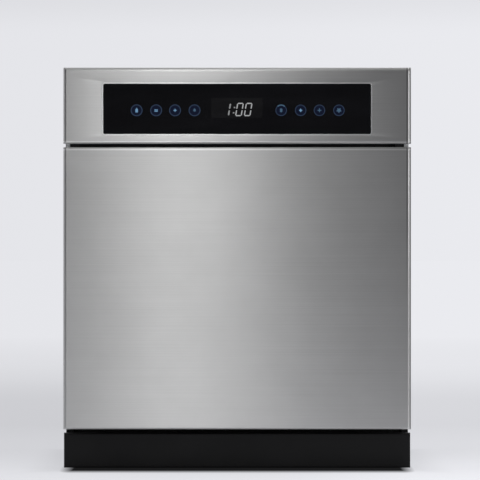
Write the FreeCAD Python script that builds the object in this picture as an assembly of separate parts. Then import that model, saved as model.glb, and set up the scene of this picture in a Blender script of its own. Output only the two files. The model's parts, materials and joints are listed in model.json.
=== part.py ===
import FreeCAD, Part
from FreeCAD import Vector
import math
import os

# Front-control dishwasher with a drop-down door, pull-out racks and a plinth.
# Millimetres, +Z up. The origin is on the floor under the middle of the body,
# and the front faces -Y. Left and right are as seen from the front.

# Front, as seen in the photograph
front_width = 598.0
body_depth = 570.0
floor_gap = 5.0
plinth_height = 58.0
plinth_gap = 7.5
door_height = 485.0
grip_gap = 6.0
console_height = 131.0
side_round = 4.0
console_top_round = 7.0
edge_round = 3.5

# Control window in the console
glass_width = 460.0
glass_height = 86.4
glass_lift = 16.6
glass_thick = 3.5
bezel_width = 2.6
display_half = 50.0
relay_x = 110.0
relay_width = 70.0
relay_height = 44.0

# Sheet metal and plastic walls
sheet = 1.0
tub_sheet = 1.5
plastic_wall = 3.0
touch_gap = 0.3
run_gap = 0.05
rail_gap = 0.35

# Cabinet behind the front
side_inset = 5.0
lid_drop = 3.5
base_bottom = 14.0
base_side_gap = 8.0
base_front_gap = 70.0
base_rear_gap = 35.0
base_wall_top = 106.0
plinth_setback = 25.0
plinth_inset = 2.0
plinth_sheet = 2.0
plinth_arm_inset = 92.0
lid_rib_x = 90.0
lid_rib_width = 20.0

# Door
door_thick = 52.0
skin_depth = 20.0
hinge_setback = 22.0
hinge_height = 108.0
hinge_pin_radius = 5.0
hinge_eye_radius = 12.0
liner_side_gap = 16.0
liner_foot = 4.0
liner_top_gap = 2.5

# Tub
seal_depth = 4.0
tub_side_gap = 18.0
tub_floor_top = 142.0
tub_roof_gap = 22.0
tub_rear_gap = 30.0
flange_width = 17.0
ledge_width = 25.0
ledge_height = 16.0

# Sump, filter and spray
sump_radius = 92.0
sump_depth = 52.0
filter_radius = 30.0
filter_offset = 46.0
hub_radius = 13.0
arm_shaft_radius = 8.0
arm_tip_gap = 5.0
arm_side_gap = 10.0
arm_thick = 10.0
pipe_radius = 9.0

# Racks
rack_front_gap = 28.0
rack_rear_gap = 35.0
wire_radius = 2.0
frame_wire_radius = 3.0
tine_radius = 1.6
upper_rack_side_gap = 31.0
upper_rack_floor = 436.0
upper_rack_height = 118.0
lower_rack_side_gap = 33.0
lower_rack_floor = 190.0
lower_rack_height = 112.0
lower_rack_nose = 55.0
lower_rack_nose_rise = 45.0
wheel_radius = 17.0
wheel_width = 9.0
wheel_front_gap = 110.0
wheel_rear_gap = 55.0
axle_radius = 2.5
rail_height = 25.0
rail_lip = 1.5
rail_centre_lift = 48.0
rail_depth = 11.0

lower_tine_height = 70.0
upper_tine_height = 52.0
handle_half = 80.0

# Pumps, pipes and tanks in the base
wash_radius = 46.0
wash_chamber = 46.0
drain_radius = 26.0
drain_chamber = 26.0
drain_length = 70.0
drain_setback = 40.0
drain_pipe_radius = 8.0
drain_elbow_lift = 14.0
power_spacing = 89.0
supply_pipe_radius = 6.0
inlet_pipe_radius = 16.0
softener_width = 116.0
softener_length = 103.0
softener_setback = 33.0
spring_length = 130.0
spring_radius = 8.0
base_axis_lift = 62.0

# Worktop tabs
bracket_inset = 104.0
tab_half = 14.0
tab_front = 11.0
tab_rear = 15.0

# Feet
foot_radius = 20.0
foot_stem_radius = 5.0
foot_pad = 8.0
foot_inset = 42.0
foot_boss_wall = 7.0

# Places worked out from the sizes above
front_y = -body_depth / 2
rear_y = body_depth / 2
front_half = front_width / 2
plinth_top = floor_gap + plinth_height
door_bottom = plinth_top + plinth_gap
door_top = door_bottom + door_height
console_bottom = door_top + grip_gap
console_top = console_bottom + console_height
skin_rear_y = front_y + skin_depth
door_inner_y = front_y + door_thick
hinge_y = front_y + hinge_setback
liner_half_width = front_half - liner_side_gap
tub_half_width = liner_half_width - tub_side_gap
upper_rack_half = tub_half_width - upper_rack_side_gap
lower_rack_half = tub_half_width - lower_rack_side_gap
liner_bottom = hinge_height + liner_foot
liner_top = console_top - liner_top_gap
body_half = front_half - side_inset
body_top = console_top - lid_drop
tub_front_y = door_inner_y + seal_depth
tub_rear_y = rear_y - tub_rear_gap
tub_roof = body_top - tub_roof_gap
tub_mid_y = (tub_front_y + tub_rear_y) / 2
tub_floor_under = tub_floor_top - 2.0
ledge_top = tub_floor_top + ledge_height
base_half = body_half - base_side_gap
base_floor_top = base_bottom + plastic_wall
base_front_y = front_y + base_front_gap
base_rear_y = rear_y - base_rear_gap
rack_front_y = door_inner_y + rack_front_gap
rack_rear_y = tub_rear_y - rack_rear_gap
rail_z = upper_rack_floor + rail_centre_lift
riser_x = 0.0
riser_y = tub_rear_y - pipe_radius - 2.0
arm_room = min(riser_y - pipe_radius - tub_mid_y, lower_rack_half - arm_side_gap)
lower_arm_reach = arm_room - arm_tip_gap
upper_arm_reach = lower_arm_reach - arm_tip_gap
foot_x = base_half - foot_inset
foot_boss_radius = foot_stem_radius + foot_boss_wall


def block(x0, x1, y0, y1, z0, z1):
    return Part.makeBox(x1 - x0, y1 - y0, z1 - z0, Vector(x0, y0, z0))


def rod(radius, start, end):
    direction = end.sub(start)
    return Part.makeCylinder(radius, direction.Length, start, direction)


def disc(radius, x, y, z0, z1):
    return rod(radius, Vector(x, y, z0), Vector(x, y, z1))


def ring(outer, inner, x, y, z0, z1):
    return disc(outer, x, y, z0, z1).cut(disc(inner, x, y, z0 - 1, z1 + 1))


def fused(shapes):
    return shapes[0].multiFuse(shapes[1:]).removeSplitter()


def cut_all(shape, tools):
    for tool in tools:
        shape = shape.cut(tool)
    return shape


def mirrored(shape):
    return shape.mirror(Vector(0, 0, 0), Vector(1, 0, 0))


def both_sides(shapes):
    return shapes + [mirrored(shape) for shape in shapes]


def plate_yz(points, x0, x1):
    """A flat plate whose outline is a list of (y, z) corners, from x0 to x1."""
    corners = [Vector(x0, y, z) for y, z in points]
    face = Part.Face(Part.makePolygon(corners + corners[:1]))
    return face.extrude(Vector(x1 - x0, 0, 0))


def turned(profile, x, y):
    """A solid of revolution about the vertical line through x, y, from (radius, z) corners."""
    corners = [Vector(x + r, y, z) for r, z in profile]
    face = Part.Face(Part.makePolygon(corners + corners[:1]))
    return face.revolve(Vector(x, y, 0), Vector(0, 0, 1), 360)


def pipe(radius, points):
    """Straight pipe runs with a ball in each corner, joined into one solid."""
    runs = [rod(radius, a, b) for a, b in zip(points, points[1:])]
    corners = [Part.makeSphere(radius, p) for p in points[1:-1]]
    return fused(runs + corners)


def evenly(start, end, count):
    return [start + (end - start) * i / (count - 1) for i in range(count)]


def write(name, shapes):
    """Writes one sub-part, a single solid or a group of them, to its own file."""
    shape = shapes[0] if len(shapes) == 1 else Part.makeCompound(shapes)
    shape.exportStep(os.path.join("parts", name + ".step"))


# Sizes shared by the pieces of the door

grip_lip = 6.0
pocket_rise = 14.0
pocket_roof = console_bottom + pocket_rise
housing_half = liner_half_width - 8.0
latch_half = 20.0
latch_z = liner_top - 8.0
tongue_half = 8.0
tongue_thick = 2.5
tongue_reach = 15.0
cam_drop = 12.0
cam_y = door_inner_y - 24.0


# Rounded pressings of the front

def front_edges(shape, y, wanted):
    """The edges of a slab that lie in its front plane and run upright or level."""
    found = []
    for edge in shape.Edges:
        ends = [v.Point for v in edge.Vertexes]
        if len(ends) == 2 and all(abs(p.y - y) < 0.001 for p in ends):
            if wanted(ends[0], ends[1]):
                found.append(edge)
    return found


def front_slab(half, y0, y1, z0, z1, side, top, bottom):
    """A slab with rounded front edges: side, top and bottom are the radii."""
    slab = block(-half, half, y0, y1, z0, z1)
    upright = lambda a, b: abs(a.z - b.z) > z1 - z0 - 0.01
    slab = slab.makeFillet(side, front_edges(slab, y0, upright))
    level_top = lambda a, b: min(a.z, b.z) > z1 - 0.01 and abs(a.x - b.x) > half
    slab = slab.makeFillet(top, front_edges(slab, y0, level_top))
    level_bottom = lambda a, b: max(a.z, b.z) < z0 + 0.01 and abs(a.x - b.x) > half
    return slab.makeFillet(bottom, front_edges(slab, y0, level_bottom))


def pressed_pan(y1, z0, z1, top, bottom):
    """A steel front folded back on all four sides and open at the back."""
    outer = front_slab(front_half, front_y, y1, z0, z1, side_round, top, bottom)
    inner = front_slab(front_half - sheet, front_y + sheet, y1 + 1, z0 + sheet,
                       z1 - sheet, side_round - sheet, top - sheet, bottom - sheet)
    return outer.cut(inner)


def glass_window(margin, y0, y1):
    half = glass_width / 2 + margin
    z0 = console_bottom + glass_lift
    return block(-half, half, y0, y1, z0 - margin, z0 + glass_height + margin)


# Door

def door_panel():
    return [pressed_pan(skin_rear_y, door_bottom, door_top, edge_round, edge_round)]


def door_insulation():
    side = front_half - sheet - side_round
    return [block(-side, side, front_y + sheet + touch_gap, skin_rear_y - 1,
                  hinge_height + hinge_eye_radius + 4, door_top - side_round - sheet)]


def console_fascia():
    pan = pressed_pan(skin_rear_y, console_bottom, console_top, console_top_round, edge_round)
    grip_mouth = block(-housing_half, housing_half, front_y + grip_lip, skin_rear_y + 1,
                       console_bottom - 1, console_bottom + 2 * sheet)
    return [cut_all(pan, [glass_window(bezel_width, front_y - 1, front_y + 10), grip_mouth])]


def glass_bezel():
    frame = glass_window(bezel_width, front_y, front_y + glass_thick)
    return [frame.cut(glass_window(0, front_y - 1, front_y + 10))]


def control_glass():
    return [glass_window(-touch_gap / 3, front_y + 0.5, front_y + glass_thick)]


def control_board():
    board_y = front_y + glass_thick + touch_gap
    board = glass_window(-8, board_y, board_y + 1.6)
    z0 = console_bottom + glass_lift
    display = block(-display_half, display_half, board_y + 1.6, board_y + 6, z0 + 20,
                    z0 + glass_height - 20)
    relay_box = block(relay_x, relay_x + relay_width, board_y + 1.6, board_y + 9,
                      z0 + 16, z0 + 16 + relay_height)
    return [board, display, relay_box]


def console_housing():
    """Plastic tray behind the glass, with the grip pocket's roof and back wall under it."""
    wall = 2.0
    y0 = skin_rear_y + touch_gap
    y1 = door_inner_y - sheet - touch_gap
    z1 = liner_top - 4
    tray = block(-housing_half, housing_half, y0, y1, pocket_roof, z1)
    tray = tray.cut(block(-housing_half + wall, housing_half - wall, y0 - 1, y1 - wall,
                          pocket_roof + wall, z1 - wall))
    tray = tray.cut(block(-latch_half - touch_gap, latch_half + touch_gap, y0 - 1, y1 + 1,
                          latch_z - 2 * cam_drop - touch_gap, z1 + 1))
    roof = block(-housing_half, housing_half, front_y + glass_thick + 1, y0, pocket_roof,
                 pocket_roof + wall)
    back = block(-housing_half, housing_half, y0, y0 + wall, door_top - 15, pocket_roof)
    return [fused([tray, roof, back]), latch_case(y0, y1, z1)]


def latch_case(y0, y1, z1):
    """Plastic case of the latch, open at the back, with the cam's pivot pin across it."""
    case = block(-latch_half, latch_half, y0, y1, latch_z - 2 * cam_drop, z1)
    room = block(-tongue_half - 1, tongue_half + 1, y0 + 2, y1 + 1, latch_z - 2 * cam_drop + 3,
                 z1 - 2)
    pin = rod(2, Vector(-tongue_half - 2, cam_y, latch_z - cam_drop),
              Vector(tongue_half + 2, cam_y, latch_z - cam_drop))
    return fused([case.cut(room), pin])


def door_liner():
    """Stainless inner pan, with the dispenser's hole, the latch's hole and two wheel tracks."""
    y0 = skin_rear_y + touch_gap
    outer = block(-liner_half_width, liner_half_width, y0, door_inner_y, liner_bottom, liner_top)
    inner = block(-liner_half_width + sheet, liner_half_width - sheet, y0 - 1,
                  door_inner_y - sheet, liner_bottom + sheet, liner_top - sheet)
    pan = outer.cut(inner)
    pan = pan.cut(dispenser_box(touch_gap, y0, door_inner_y + 1))
    pan = pan.cut(block(-tongue_half - 2, tongue_half + 2, door_inner_y - 3, door_inner_y + 1,
                        latch_z - tongue_thick - 4, latch_z + 3))
    tracks = both_sides([wheel_track()])
    return [pan] + tracks


wheel_x0 = lower_rack_half + 9.0
wheel_x1 = wheel_x0 + wheel_width
track_start = 76.0
track_ramp = 27.0
track_end = 345.0


def wheel_track():
    """Raised track on the liner, level with the tub's ledges once the door is down."""
    rise = ledge_top - hinge_height - (door_inner_y - hinge_y)
    outline = [
        (door_inner_y, hinge_height + track_start),
        (door_inner_y + rise, hinge_height + track_start + track_ramp),
        (door_inner_y + rise, hinge_height + track_end - track_ramp),
        (door_inner_y, hinge_height + track_end),
    ]
    return plate_yz(outline, wheel_x0, wheel_x1)


arm_plate_x = liner_half_width + 1.0
arm_plate = 3.0


def hinge_arms():
    """Steel hinge levers up the sides of the door, with the pin's eye at the foot."""
    x0, x1 = arm_plate_x, arm_plate_x + arm_plate
    y0 = skin_rear_y + touch_gap
    lever = block(x0, x1, y0, door_inner_y - 6, hinge_height, liner_top)
    eye = rod(hinge_eye_radius, Vector(x0, hinge_y, hinge_height), Vector(x1, hinge_y, hinge_height))
    flange = block(x0, x0 + 8, y0, y0 + 2, door_bottom + 60, liner_top)
    bore = rod(hinge_pin_radius + run_gap, Vector(x0 - 1, hinge_y, hinge_height),
               Vector(x1 + 1, hinge_y, hinge_height))
    return both_sides([fused([lever, eye, flange]).cut(bore)])


# Detergent dispenser in the door, between the two racks

dispenser_half = 95.0
dispenser_z0 = lower_rack_floor + lower_rack_height + 14.0
dispenser_z1 = dispenser_z0 + 76.0
dispenser_deep = 26.0
flap_x0 = -84.0
flap_x1 = -6.0
flap_z0 = dispenser_z0 + 8.0
flap_z1 = dispenser_z1 - 8.0
flap_y0 = door_inner_y + 2.0 + touch_gap
flap_thick = 2.5
rinse_x = 48.0
rinse_z = (dispenser_z0 + dispenser_z1) / 2
rinse_radius = 20.0


def dispenser_box(margin, y0, y1):
    return block(-dispenser_half - margin, dispenser_half + margin, y0, y1,
                 dispenser_z0 - margin, dispenser_z1 + margin)


def dispenser_body():
    y0 = door_inner_y - dispenser_deep
    y1 = door_inner_y + 2
    body = dispenser_box(0, y0, y1)
    cup = block(flap_x0 + 4, flap_x1 - 4, y0 + 2, y1 + 1, flap_z0 + 4, flap_z1 - 4)
    well = rod(rinse_radius - 6, Vector(rinse_x, y0 + 10, rinse_z), Vector(rinse_x, y1 + 1, rinse_z))
    body = cut_all(body, [cup, well])
    ears = [block(x0, x0 + 4, y1, y1 + 5, flap_z0 - 5, flap_z0 + 1)
            for x0 in (flap_x0 - 4.5, flap_x1 + 0.5)]
    return [fused([body] + ears)]


def dispenser_flap():
    """Lid over the powder cup, hinged at the barrel along its lower edge."""
    z = flap_z0 + flap_thick / 2
    y = flap_y0 + flap_thick / 2
    lid = block(flap_x0, flap_x1, flap_y0, flap_y0 + flap_thick, z, flap_z1)
    barrel = rod(flap_thick / 2, Vector(flap_x0, y, z), Vector(flap_x1, y, z))
    return [fused([lid, barrel])]


def rinse_cap():
    """Round cap of the rinse-aid well, with a grip bar across it."""
    y0 = door_inner_y + 2
    stem = rod(rinse_radius - 7, Vector(rinse_x, y0 - 8, rinse_z), Vector(rinse_x, y0, rinse_z))
    head = rod(rinse_radius, Vector(rinse_x, y0 + touch_gap / 3, rinse_z),
               Vector(rinse_x, y0 + 3, rinse_z))
    grip = block(rinse_x - 3, rinse_x + 3, y0 + 3, y0 + 7, rinse_z - rinse_radius + 4,
                 rinse_z + rinse_radius - 4)
    return [fused([stem.cut(head), head, grip])]


# Latch between door and tub

def latch_strike():
    """Steel tongue screwed behind the tub's front frame, reaching forward into the door."""
    plate_y = tub_front_y + tub_sheet
    tongue = block(-tongue_half, tongue_half, door_inner_y - tongue_reach, plate_y + 1,
                   latch_z - tongue_thick, latch_z)
    plate = block(-tongue_half - 12, tongue_half + 12, plate_y, plate_y + 2,
                  tub_roof + 4, latch_z + 4)
    return [fused([tongue, plate])]


def latch_cam():
    """Sprung cam in the door whose nose lies under the tongue."""
    half = tongue_half - 2
    z = latch_z - cam_drop
    nose_z = latch_z - tongue_thick - touch_gap
    outline = [(cam_y, z - 4), (cam_y + 17, z - 1), (cam_y + 17, z + 4), (cam_y + 13, nose_z),
               (cam_y + 9, nose_z), (cam_y + 5, z + 4), (cam_y, z + 4)]
    eye = rod(4, Vector(-half, cam_y, z), Vector(half, cam_y, z))
    bore = rod(2 + run_gap, Vector(-half - 1, cam_y, z), Vector(half + 1, cam_y, z))
    return [fused([plate_yz(outline, -half, half), eye]).cut(bore)]


def door_screws():
    """Screw heads along the liner's edge, outside the line of the door seal."""
    x = liner_half_width - 3.2
    heads = []
    for z in evenly(liner_bottom + 30, liner_top - 25, 5):
        heads.append(rod(2.6, Vector(x, door_inner_y, z), Vector(x, door_inner_y + 1.4, z)))
    return both_sides(heads)


# Tub and its front frame

flange_x = tub_half_width + flange_width
sill_bottom = liner_bottom + 6.0
sill_top = tub_floor_top + 8.0
softener_x0 = -foot_x + foot_boss_radius + 4.0
softener_x1 = softener_x0 + softener_width
softener_y0 = base_front_y + softener_setback
softener_y1 = softener_y0 + softener_length
salt_x = softener_x0 + 50.0
salt_y = softener_y1 - softener_length / 2
salt_neck_radius = 28.0
float_x = tub_half_width - 53.0
float_y = tub_front_y + 34.0
float_radius = 15.0


def tub_wrapper():
    """One steel sheet folded into sides and roof, and the flange round the tub's mouth."""
    outer = block(-tub_half_width - tub_sheet, tub_half_width + tub_sheet, tub_front_y + tub_sheet,
                  tub_rear_y, tub_floor_under, tub_roof + tub_sheet)
    room = block(-tub_half_width, tub_half_width, tub_front_y, tub_rear_y + 1,
                 tub_floor_under - 1, tub_roof)
    frame_outer = block(-flange_x, flange_x, tub_front_y, tub_front_y + tub_sheet, sill_bottom,
                        body_top - sheet)
    frame_room = block(-tub_half_width, tub_half_width, tub_front_y - 1, tub_front_y + 5,
                       sill_bottom - 1, tub_roof)
    slot = block(-tongue_half - touch_gap, tongue_half + touch_gap, tub_front_y - 1,
                 tub_front_y + 5, latch_z - tongue_thick - touch_gap, latch_z + touch_gap)
    return [outer.cut(room), cut_all(frame_outer, [frame_room, slot])]


def tub_rear_wall():
    return [block(-tub_half_width - tub_sheet, tub_half_width + tub_sheet, tub_rear_y,
                  tub_rear_y + tub_sheet, tub_floor_under, tub_roof + tub_sheet)]


def tub_floor():
    """Floor with the sump's mouth, the front sill and a ledge each side for the rack wheels."""
    floor = block(-tub_half_width, tub_half_width, tub_front_y + tub_sheet, tub_rear_y,
                  tub_floor_under, tub_floor_top)
    holes = [
        disc(sump_radius - 5, 0, tub_mid_y, 0, ledge_top),
        disc(pipe_radius + 1, riser_x, riser_y, 0, ledge_top),
        disc(salt_neck_radius + touch_gap, salt_x, salt_y, 0, ledge_top),
        disc(5, float_x, float_y, 0, ledge_top),
    ]
    floor = cut_all(floor, holes)
    sill = block(-tub_half_width, tub_half_width, tub_front_y, tub_front_y + tub_sheet,
                 sill_bottom, sill_top)
    ledge = block(tub_half_width - ledge_width, tub_half_width, tub_front_y + tub_sheet,
                  tub_rear_y, tub_floor_top, ledge_top)
    return [floor, sill] + both_sides([ledge])


def tub_gasket():
    """Rubber seal round the mouth of the tub, with a lip seal under it at the sill."""
    y0 = door_inner_y + touch_gap
    in_x = tub_half_width + 2
    out_x = in_x + 8
    low_z = sill_top
    side = block(in_x, out_x, y0, tub_front_y, low_z, tub_roof + 2)
    top = block(-out_x, out_x, y0, tub_front_y, tub_roof + 2, tub_roof + 10)
    lip = block(-tub_half_width + 2, tub_half_width - 2, y0, tub_front_y, sill_bottom + 2,
                sill_bottom + 10)
    return both_sides([side]) + [top, lip]


# Sump, filters, pumps and water path

wash_shaft_radius = 4.0
wash_wheel_width = 17.0
drain_shaft_radius = 2.5
drain_vane_reach = 16.0

sump_bottom = tub_floor_under - sump_depth
hub_shoulder = tub_floor_top + 18.0
lower_arm_z0 = hub_shoulder + 0.5
lower_arm_z1 = lower_arm_z0 + arm_thick
filter_y = tub_mid_y - filter_offset
filter_top = hub_shoulder - 5.0
outlet_x = foot_x - foot_boss_radius - drain_pipe_radius - 5.0
outlet_z = base_bottom + 32.0
outlet_radius = 10.5
outlet_collar = 2.0
wash_x0 = sump_radius + 12.0
wash_x1 = outlet_x - drain_pipe_radius + 1.0
wash_z = base_bottom + base_axis_lift
wash_motor_radius = wash_radius - 12.0
drain_x = 60.0
drain_z = base_bottom + 46.0
drain_y0 = base_front_y + drain_setback
drain_y1 = drain_y0 + drain_length
inlet_x = -foot_x + 44.0
inlet_z = base_bottom + 46.0
inlet_radius = 13.2
spigot_length = 20.0


def sump():
    """Moulded bowl under the tub, hung by its rim below the floor."""
    profile = [(0, sump_bottom), (sump_radius - 12, sump_bottom), (sump_radius - 6, tub_floor_under - 5),
               (sump_radius + 6, tub_floor_under - 5), (sump_radius + 6, tub_floor_under),
               (sump_radius - 9, tub_floor_under), (sump_radius - 15, sump_bottom + 3),
               (0, sump_bottom + 3)]
    return [turned(profile, 0, tub_mid_y)]


def spray_hub():
    """Post in the sump that feeds the lower arm and carries it on a shaft with a nut on top."""
    top = lower_arm_z1 + 3
    profile = [(0, sump_bottom + 3), (hub_radius, sump_bottom + 3), (hub_radius, hub_shoulder),
               (arm_shaft_radius, hub_shoulder), (arm_shaft_radius, top),
               (hub_radius - 1, top), (hub_radius - 3, top + 6), (0, top + 6)]
    return [turned(profile, 0, tub_mid_y)]


def filter_plate():
    """Fine steel plate over the sump, with holes for the hub and the filter cup."""
    plate = disc(sump_radius + 3, 0, tub_mid_y, tub_floor_top, tub_floor_top + 1.5)
    hub_hole = disc(hub_radius + touch_gap, 0, tub_mid_y, 0, ledge_top)
    cup_hole = disc(filter_radius + touch_gap, 0, filter_y, 0, ledge_top)
    return [cut_all(plate, [hub_hole, cup_hole])]


def micro_filter():
    """Filter cup that twists out, with a rim on the plate and a cross grip inside."""
    rim_z = tub_floor_top + 1.5 + touch_gap / 3
    z0 = sump_bottom + 9
    profile = [(filter_radius - 3, z0), (filter_radius, z0), (filter_radius, rim_z),
               (filter_radius + 2, rim_z), (filter_radius + 2, rim_z + 2),
               (filter_radius, filter_top), (filter_radius - 3, filter_top)]
    cup = turned(profile, 0, filter_y)
    base = disc(filter_radius - 2, 0, filter_y, z0, z0 + 3)
    grip = block(-filter_radius + 1, filter_radius - 1, filter_y - 2, filter_y + 2,
                 filter_top - 14, filter_top)
    return [fused([cup, base, grip])]


def spray_arm(reach, x, y, z0, z1, shaft):
    """Two hollow-looking blades that taper to rounded ends, round a hub with a bore."""
    root = 24.0
    tip = 15.0
    blade_z0 = z0 + 2
    tip_x = reach - tip
    lean = 6.0
    parts = [disc(root, x, y, z0, z1)]
    for side in (1, -1):
        corners = [Vector(x, y - side * root * 0.9, blade_z0),
                   Vector(x + side * tip_x, y - side * (tip - lean), blade_z0),
                   Vector(x + side * tip_x, y + side * (tip + lean), blade_z0),
                   Vector(x, y + side * root * 0.9, blade_z0)]
        face = Part.Face(Part.makePolygon(corners + corners[:1]))
        if face.normalAt(0, 0).z < 0:
            face.reverse()
        parts.append(face.extrude(Vector(0, 0, z1 - blade_z0 - 1)))
        parts.append(disc(tip, x + side * tip_x, y + side * lean, blade_z0, z1 - 1))
    return fused(parts).cut(disc(shaft + run_gap, x, y, z0 - 1, z1 + 1))


def lower_spray_arm():
    return [spray_arm(lower_arm_reach, 0, tub_mid_y, lower_arm_z0, lower_arm_z1, arm_shaft_radius)]


def wash_pump_housing():
    """Circulation pump beside the sump, with its motor, heater ring, rubber feet and inlet."""
    y = tub_mid_y
    chamber_x = wash_x0 + wash_chamber
    body = rod(wash_radius, Vector(wash_x0, y, wash_z), Vector(chamber_x, y, wash_z))
    room = rod(wash_radius - 6, Vector(wash_x0 + 4, y, wash_z), Vector(chamber_x - 8, y, wash_z))
    body = body.cut(room)
    motor = rod(wash_motor_radius, Vector(chamber_x, y, wash_z), Vector(wash_x1 - 6, y, wash_z))
    cap = rod(wash_motor_radius - 10, Vector(wash_x1 - 6, y, wash_z), Vector(wash_x1, y, wash_z))
    shaft = rod(wash_shaft_radius, Vector(wash_x0 + 14, y, wash_z), Vector(chamber_x + 2, y, wash_z))
    foot = block(wash_x0 + 8, chamber_x - 8, y - 16, y + 16, base_floor_top, wash_z)
    foot = foot.cut(rod(wash_radius, Vector(wash_x0, y, wash_z), Vector(wash_x1, y, wash_z)))
    inlet_pipe_z = wash_z + wash_radius - inlet_pipe_radius - 6
    inlet = rod(inlet_pipe_radius, Vector(0, y, inlet_pipe_z), Vector(wash_x0, y, inlet_pipe_z))
    inlet = inlet.cut(disc(sump_radius + 20, 0, y, 0, sump_bottom + 14))
    return [fused([body, motor, cap, shaft]), foot, clear_of_sump(inlet)]


def clear_of_sump(shape):
    """Cuts away what would reach into the sump, so that the pipe ends on the sump's wall."""
    profile = [(0, sump_bottom), (sump_radius - 12, sump_bottom), (sump_radius - 6, tub_floor_under - 5),
               (sump_radius + 6, tub_floor_under - 5), (sump_radius + 6, tub_floor_under + 5),
               (0, tub_floor_under + 5)]
    return shape.cut(turned(profile, 0, tub_mid_y))


def wash_impeller():
    """Disc with six straight blades on the circulation pump's shaft."""
    y = tub_mid_y
    x0 = wash_x0 + 16
    x1 = x0 + wash_wheel_width
    radius = wash_radius - 9
    back = rod(radius, Vector(x1 - 3, y, wash_z), Vector(x1, y, wash_z))
    boss = rod(wash_shaft_radius + 5, Vector(x0, y, wash_z), Vector(x1, y, wash_z))
    blades = []
    for i in range(6):
        blade = block(x0, x1 - 2, y - 1, y + 1, wash_z + wash_shaft_radius + 2, wash_z + radius - 2)
        blade.rotate(Vector(x0, y, wash_z), Vector(1, 0, 0), 60 * i)
        blades.append(blade)
    wheel = fused([back, boss] + blades)
    bore = rod(wash_shaft_radius + run_gap, Vector(x0 - 1, y, wash_z), Vector(x1 + 1, y, wash_z))
    return [wheel.cut(bore)]


def drain_pump_housing():
    """Drain pump in front of the sump, on a foot, with a short inlet and a pipe to the back."""
    chamber_y = drain_y1 - drain_chamber
    body = rod(drain_radius, Vector(drain_x, chamber_y, drain_z), Vector(drain_x, drain_y1, drain_z))
    room = rod(drain_radius - 4, Vector(drain_x, chamber_y + 3, drain_z),
               Vector(drain_x, drain_y1 - 3, drain_z))
    body = body.cut(room)
    motor = rod(drain_radius - 6, Vector(drain_x, drain_y0, drain_z),
                Vector(drain_x, chamber_y, drain_z))
    shaft = rod(drain_shaft_radius, Vector(drain_x, chamber_y - 1, drain_z),
                Vector(drain_x, drain_y1 - 8, drain_z))
    foot = block(drain_x - 10, drain_x + 10, drain_y0 + 10, drain_y1 - 6, base_floor_top, drain_z)
    foot = foot.cut(rod(drain_radius, Vector(drain_x, drain_y0, drain_z),
                        Vector(drain_x, drain_y1, drain_z)))
    elbow = Vector(drain_x, drain_y1 - drain_pipe_radius, sump_bottom + drain_elbow_lift)
    low = Vector(drain_x, elbow.y, drain_z + drain_radius - 8)
    inlet = pipe(drain_pipe_radius, [low, elbow, Vector(drain_x, tub_mid_y, elbow.z)])
    inlet = clear_of_sump(inlet.cut(
        rod(drain_radius, Vector(drain_x, drain_y0, drain_z), Vector(drain_x, drain_y1, drain_z))))
    return [fused([body, motor, shaft]), foot, inlet]


def drain_impeller():
    """Four-vane rotor of the drain pump."""
    y0 = drain_y1 - drain_chamber + 5
    y1 = drain_y1 - 7
    reach = drain_vane_reach
    boss = rod(6, Vector(drain_x, y0, drain_z), Vector(drain_x, y1, drain_z))
    vanes = [block(drain_x - reach, drain_x + reach, y0, y1, drain_z - 1.2, drain_z + 1.2),
             block(drain_x - 1.2, drain_x + 1.2, y0, y1, drain_z - reach, drain_z + reach)]
    bore = rod(drain_shaft_radius + run_gap, Vector(drain_x, y0 - 1, drain_z),
               Vector(drain_x, y1 + 1, drain_z))
    return [fused([boss] + vanes).cut(bore)]


def drain_outlet():
    """Pipe from the drain pump round to the back, ending in the hose spigot."""
    y = drain_y1 - drain_chamber / 2
    path = [Vector(drain_x, y, outlet_z), Vector(outlet_x, y, outlet_z),
            Vector(outlet_x, base_rear_y, outlet_z)]
    run = pipe(drain_pipe_radius, path)
    run = run.cut(rod(drain_radius, Vector(drain_x, drain_y0, drain_z),
                      Vector(drain_x, drain_y1, drain_z)))
    inner = block(drain_x - drain_radius, drain_x + drain_radius - 14, y - 2 * drain_pipe_radius,
                  y + 2 * drain_pipe_radius, outlet_z - drain_radius, outlet_z + drain_radius)
    run = run.cut(inner)
    plate_y = base_rear_y + outlet_collar
    spigot = rod(outlet_radius, Vector(outlet_x, base_rear_y, outlet_z),
                 Vector(outlet_x, plate_y + spigot_length, outlet_z))
    plate = block(outlet_x - 15, outlet_x + 15, base_rear_y, plate_y, outlet_z - 16, outlet_z + 16)
    return [fused([run, spigot, plate])]


def water_inlet_valve():
    """Solenoid valve on the back wall, its threaded inlet behind and its pipe to the softener."""
    wall_y = base_rear_y - plastic_wall
    body_y = wall_y - 34
    collar_y = base_rear_y + outlet_collar
    body = block(inlet_x - 16, inlet_x + 16, body_y, wall_y, inlet_z - 18, inlet_z + 18)
    coil = block(inlet_x - 13, inlet_x + 13, body_y + 4, wall_y - 6, inlet_z + 18, inlet_z + 46)
    collar = rod(inlet_radius + 2, Vector(inlet_x, wall_y, inlet_z), Vector(inlet_x, collar_y, inlet_z))
    inlet = rod(inlet_radius, Vector(inlet_x, wall_y, inlet_z),
                Vector(inlet_x, collar_y + spigot_length, inlet_z))
    supply = rod(supply_pipe_radius, Vector(inlet_x, softener_y1, inlet_z),
                 Vector(inlet_x, body_y, inlet_z))
    return [fused([body, coil, collar, inlet, supply])]


power_x = outlet_x - power_spacing
power_half = 24.0
power_z0 = base_bottom + 32.0
power_z1 = power_z0 + 30.0


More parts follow.
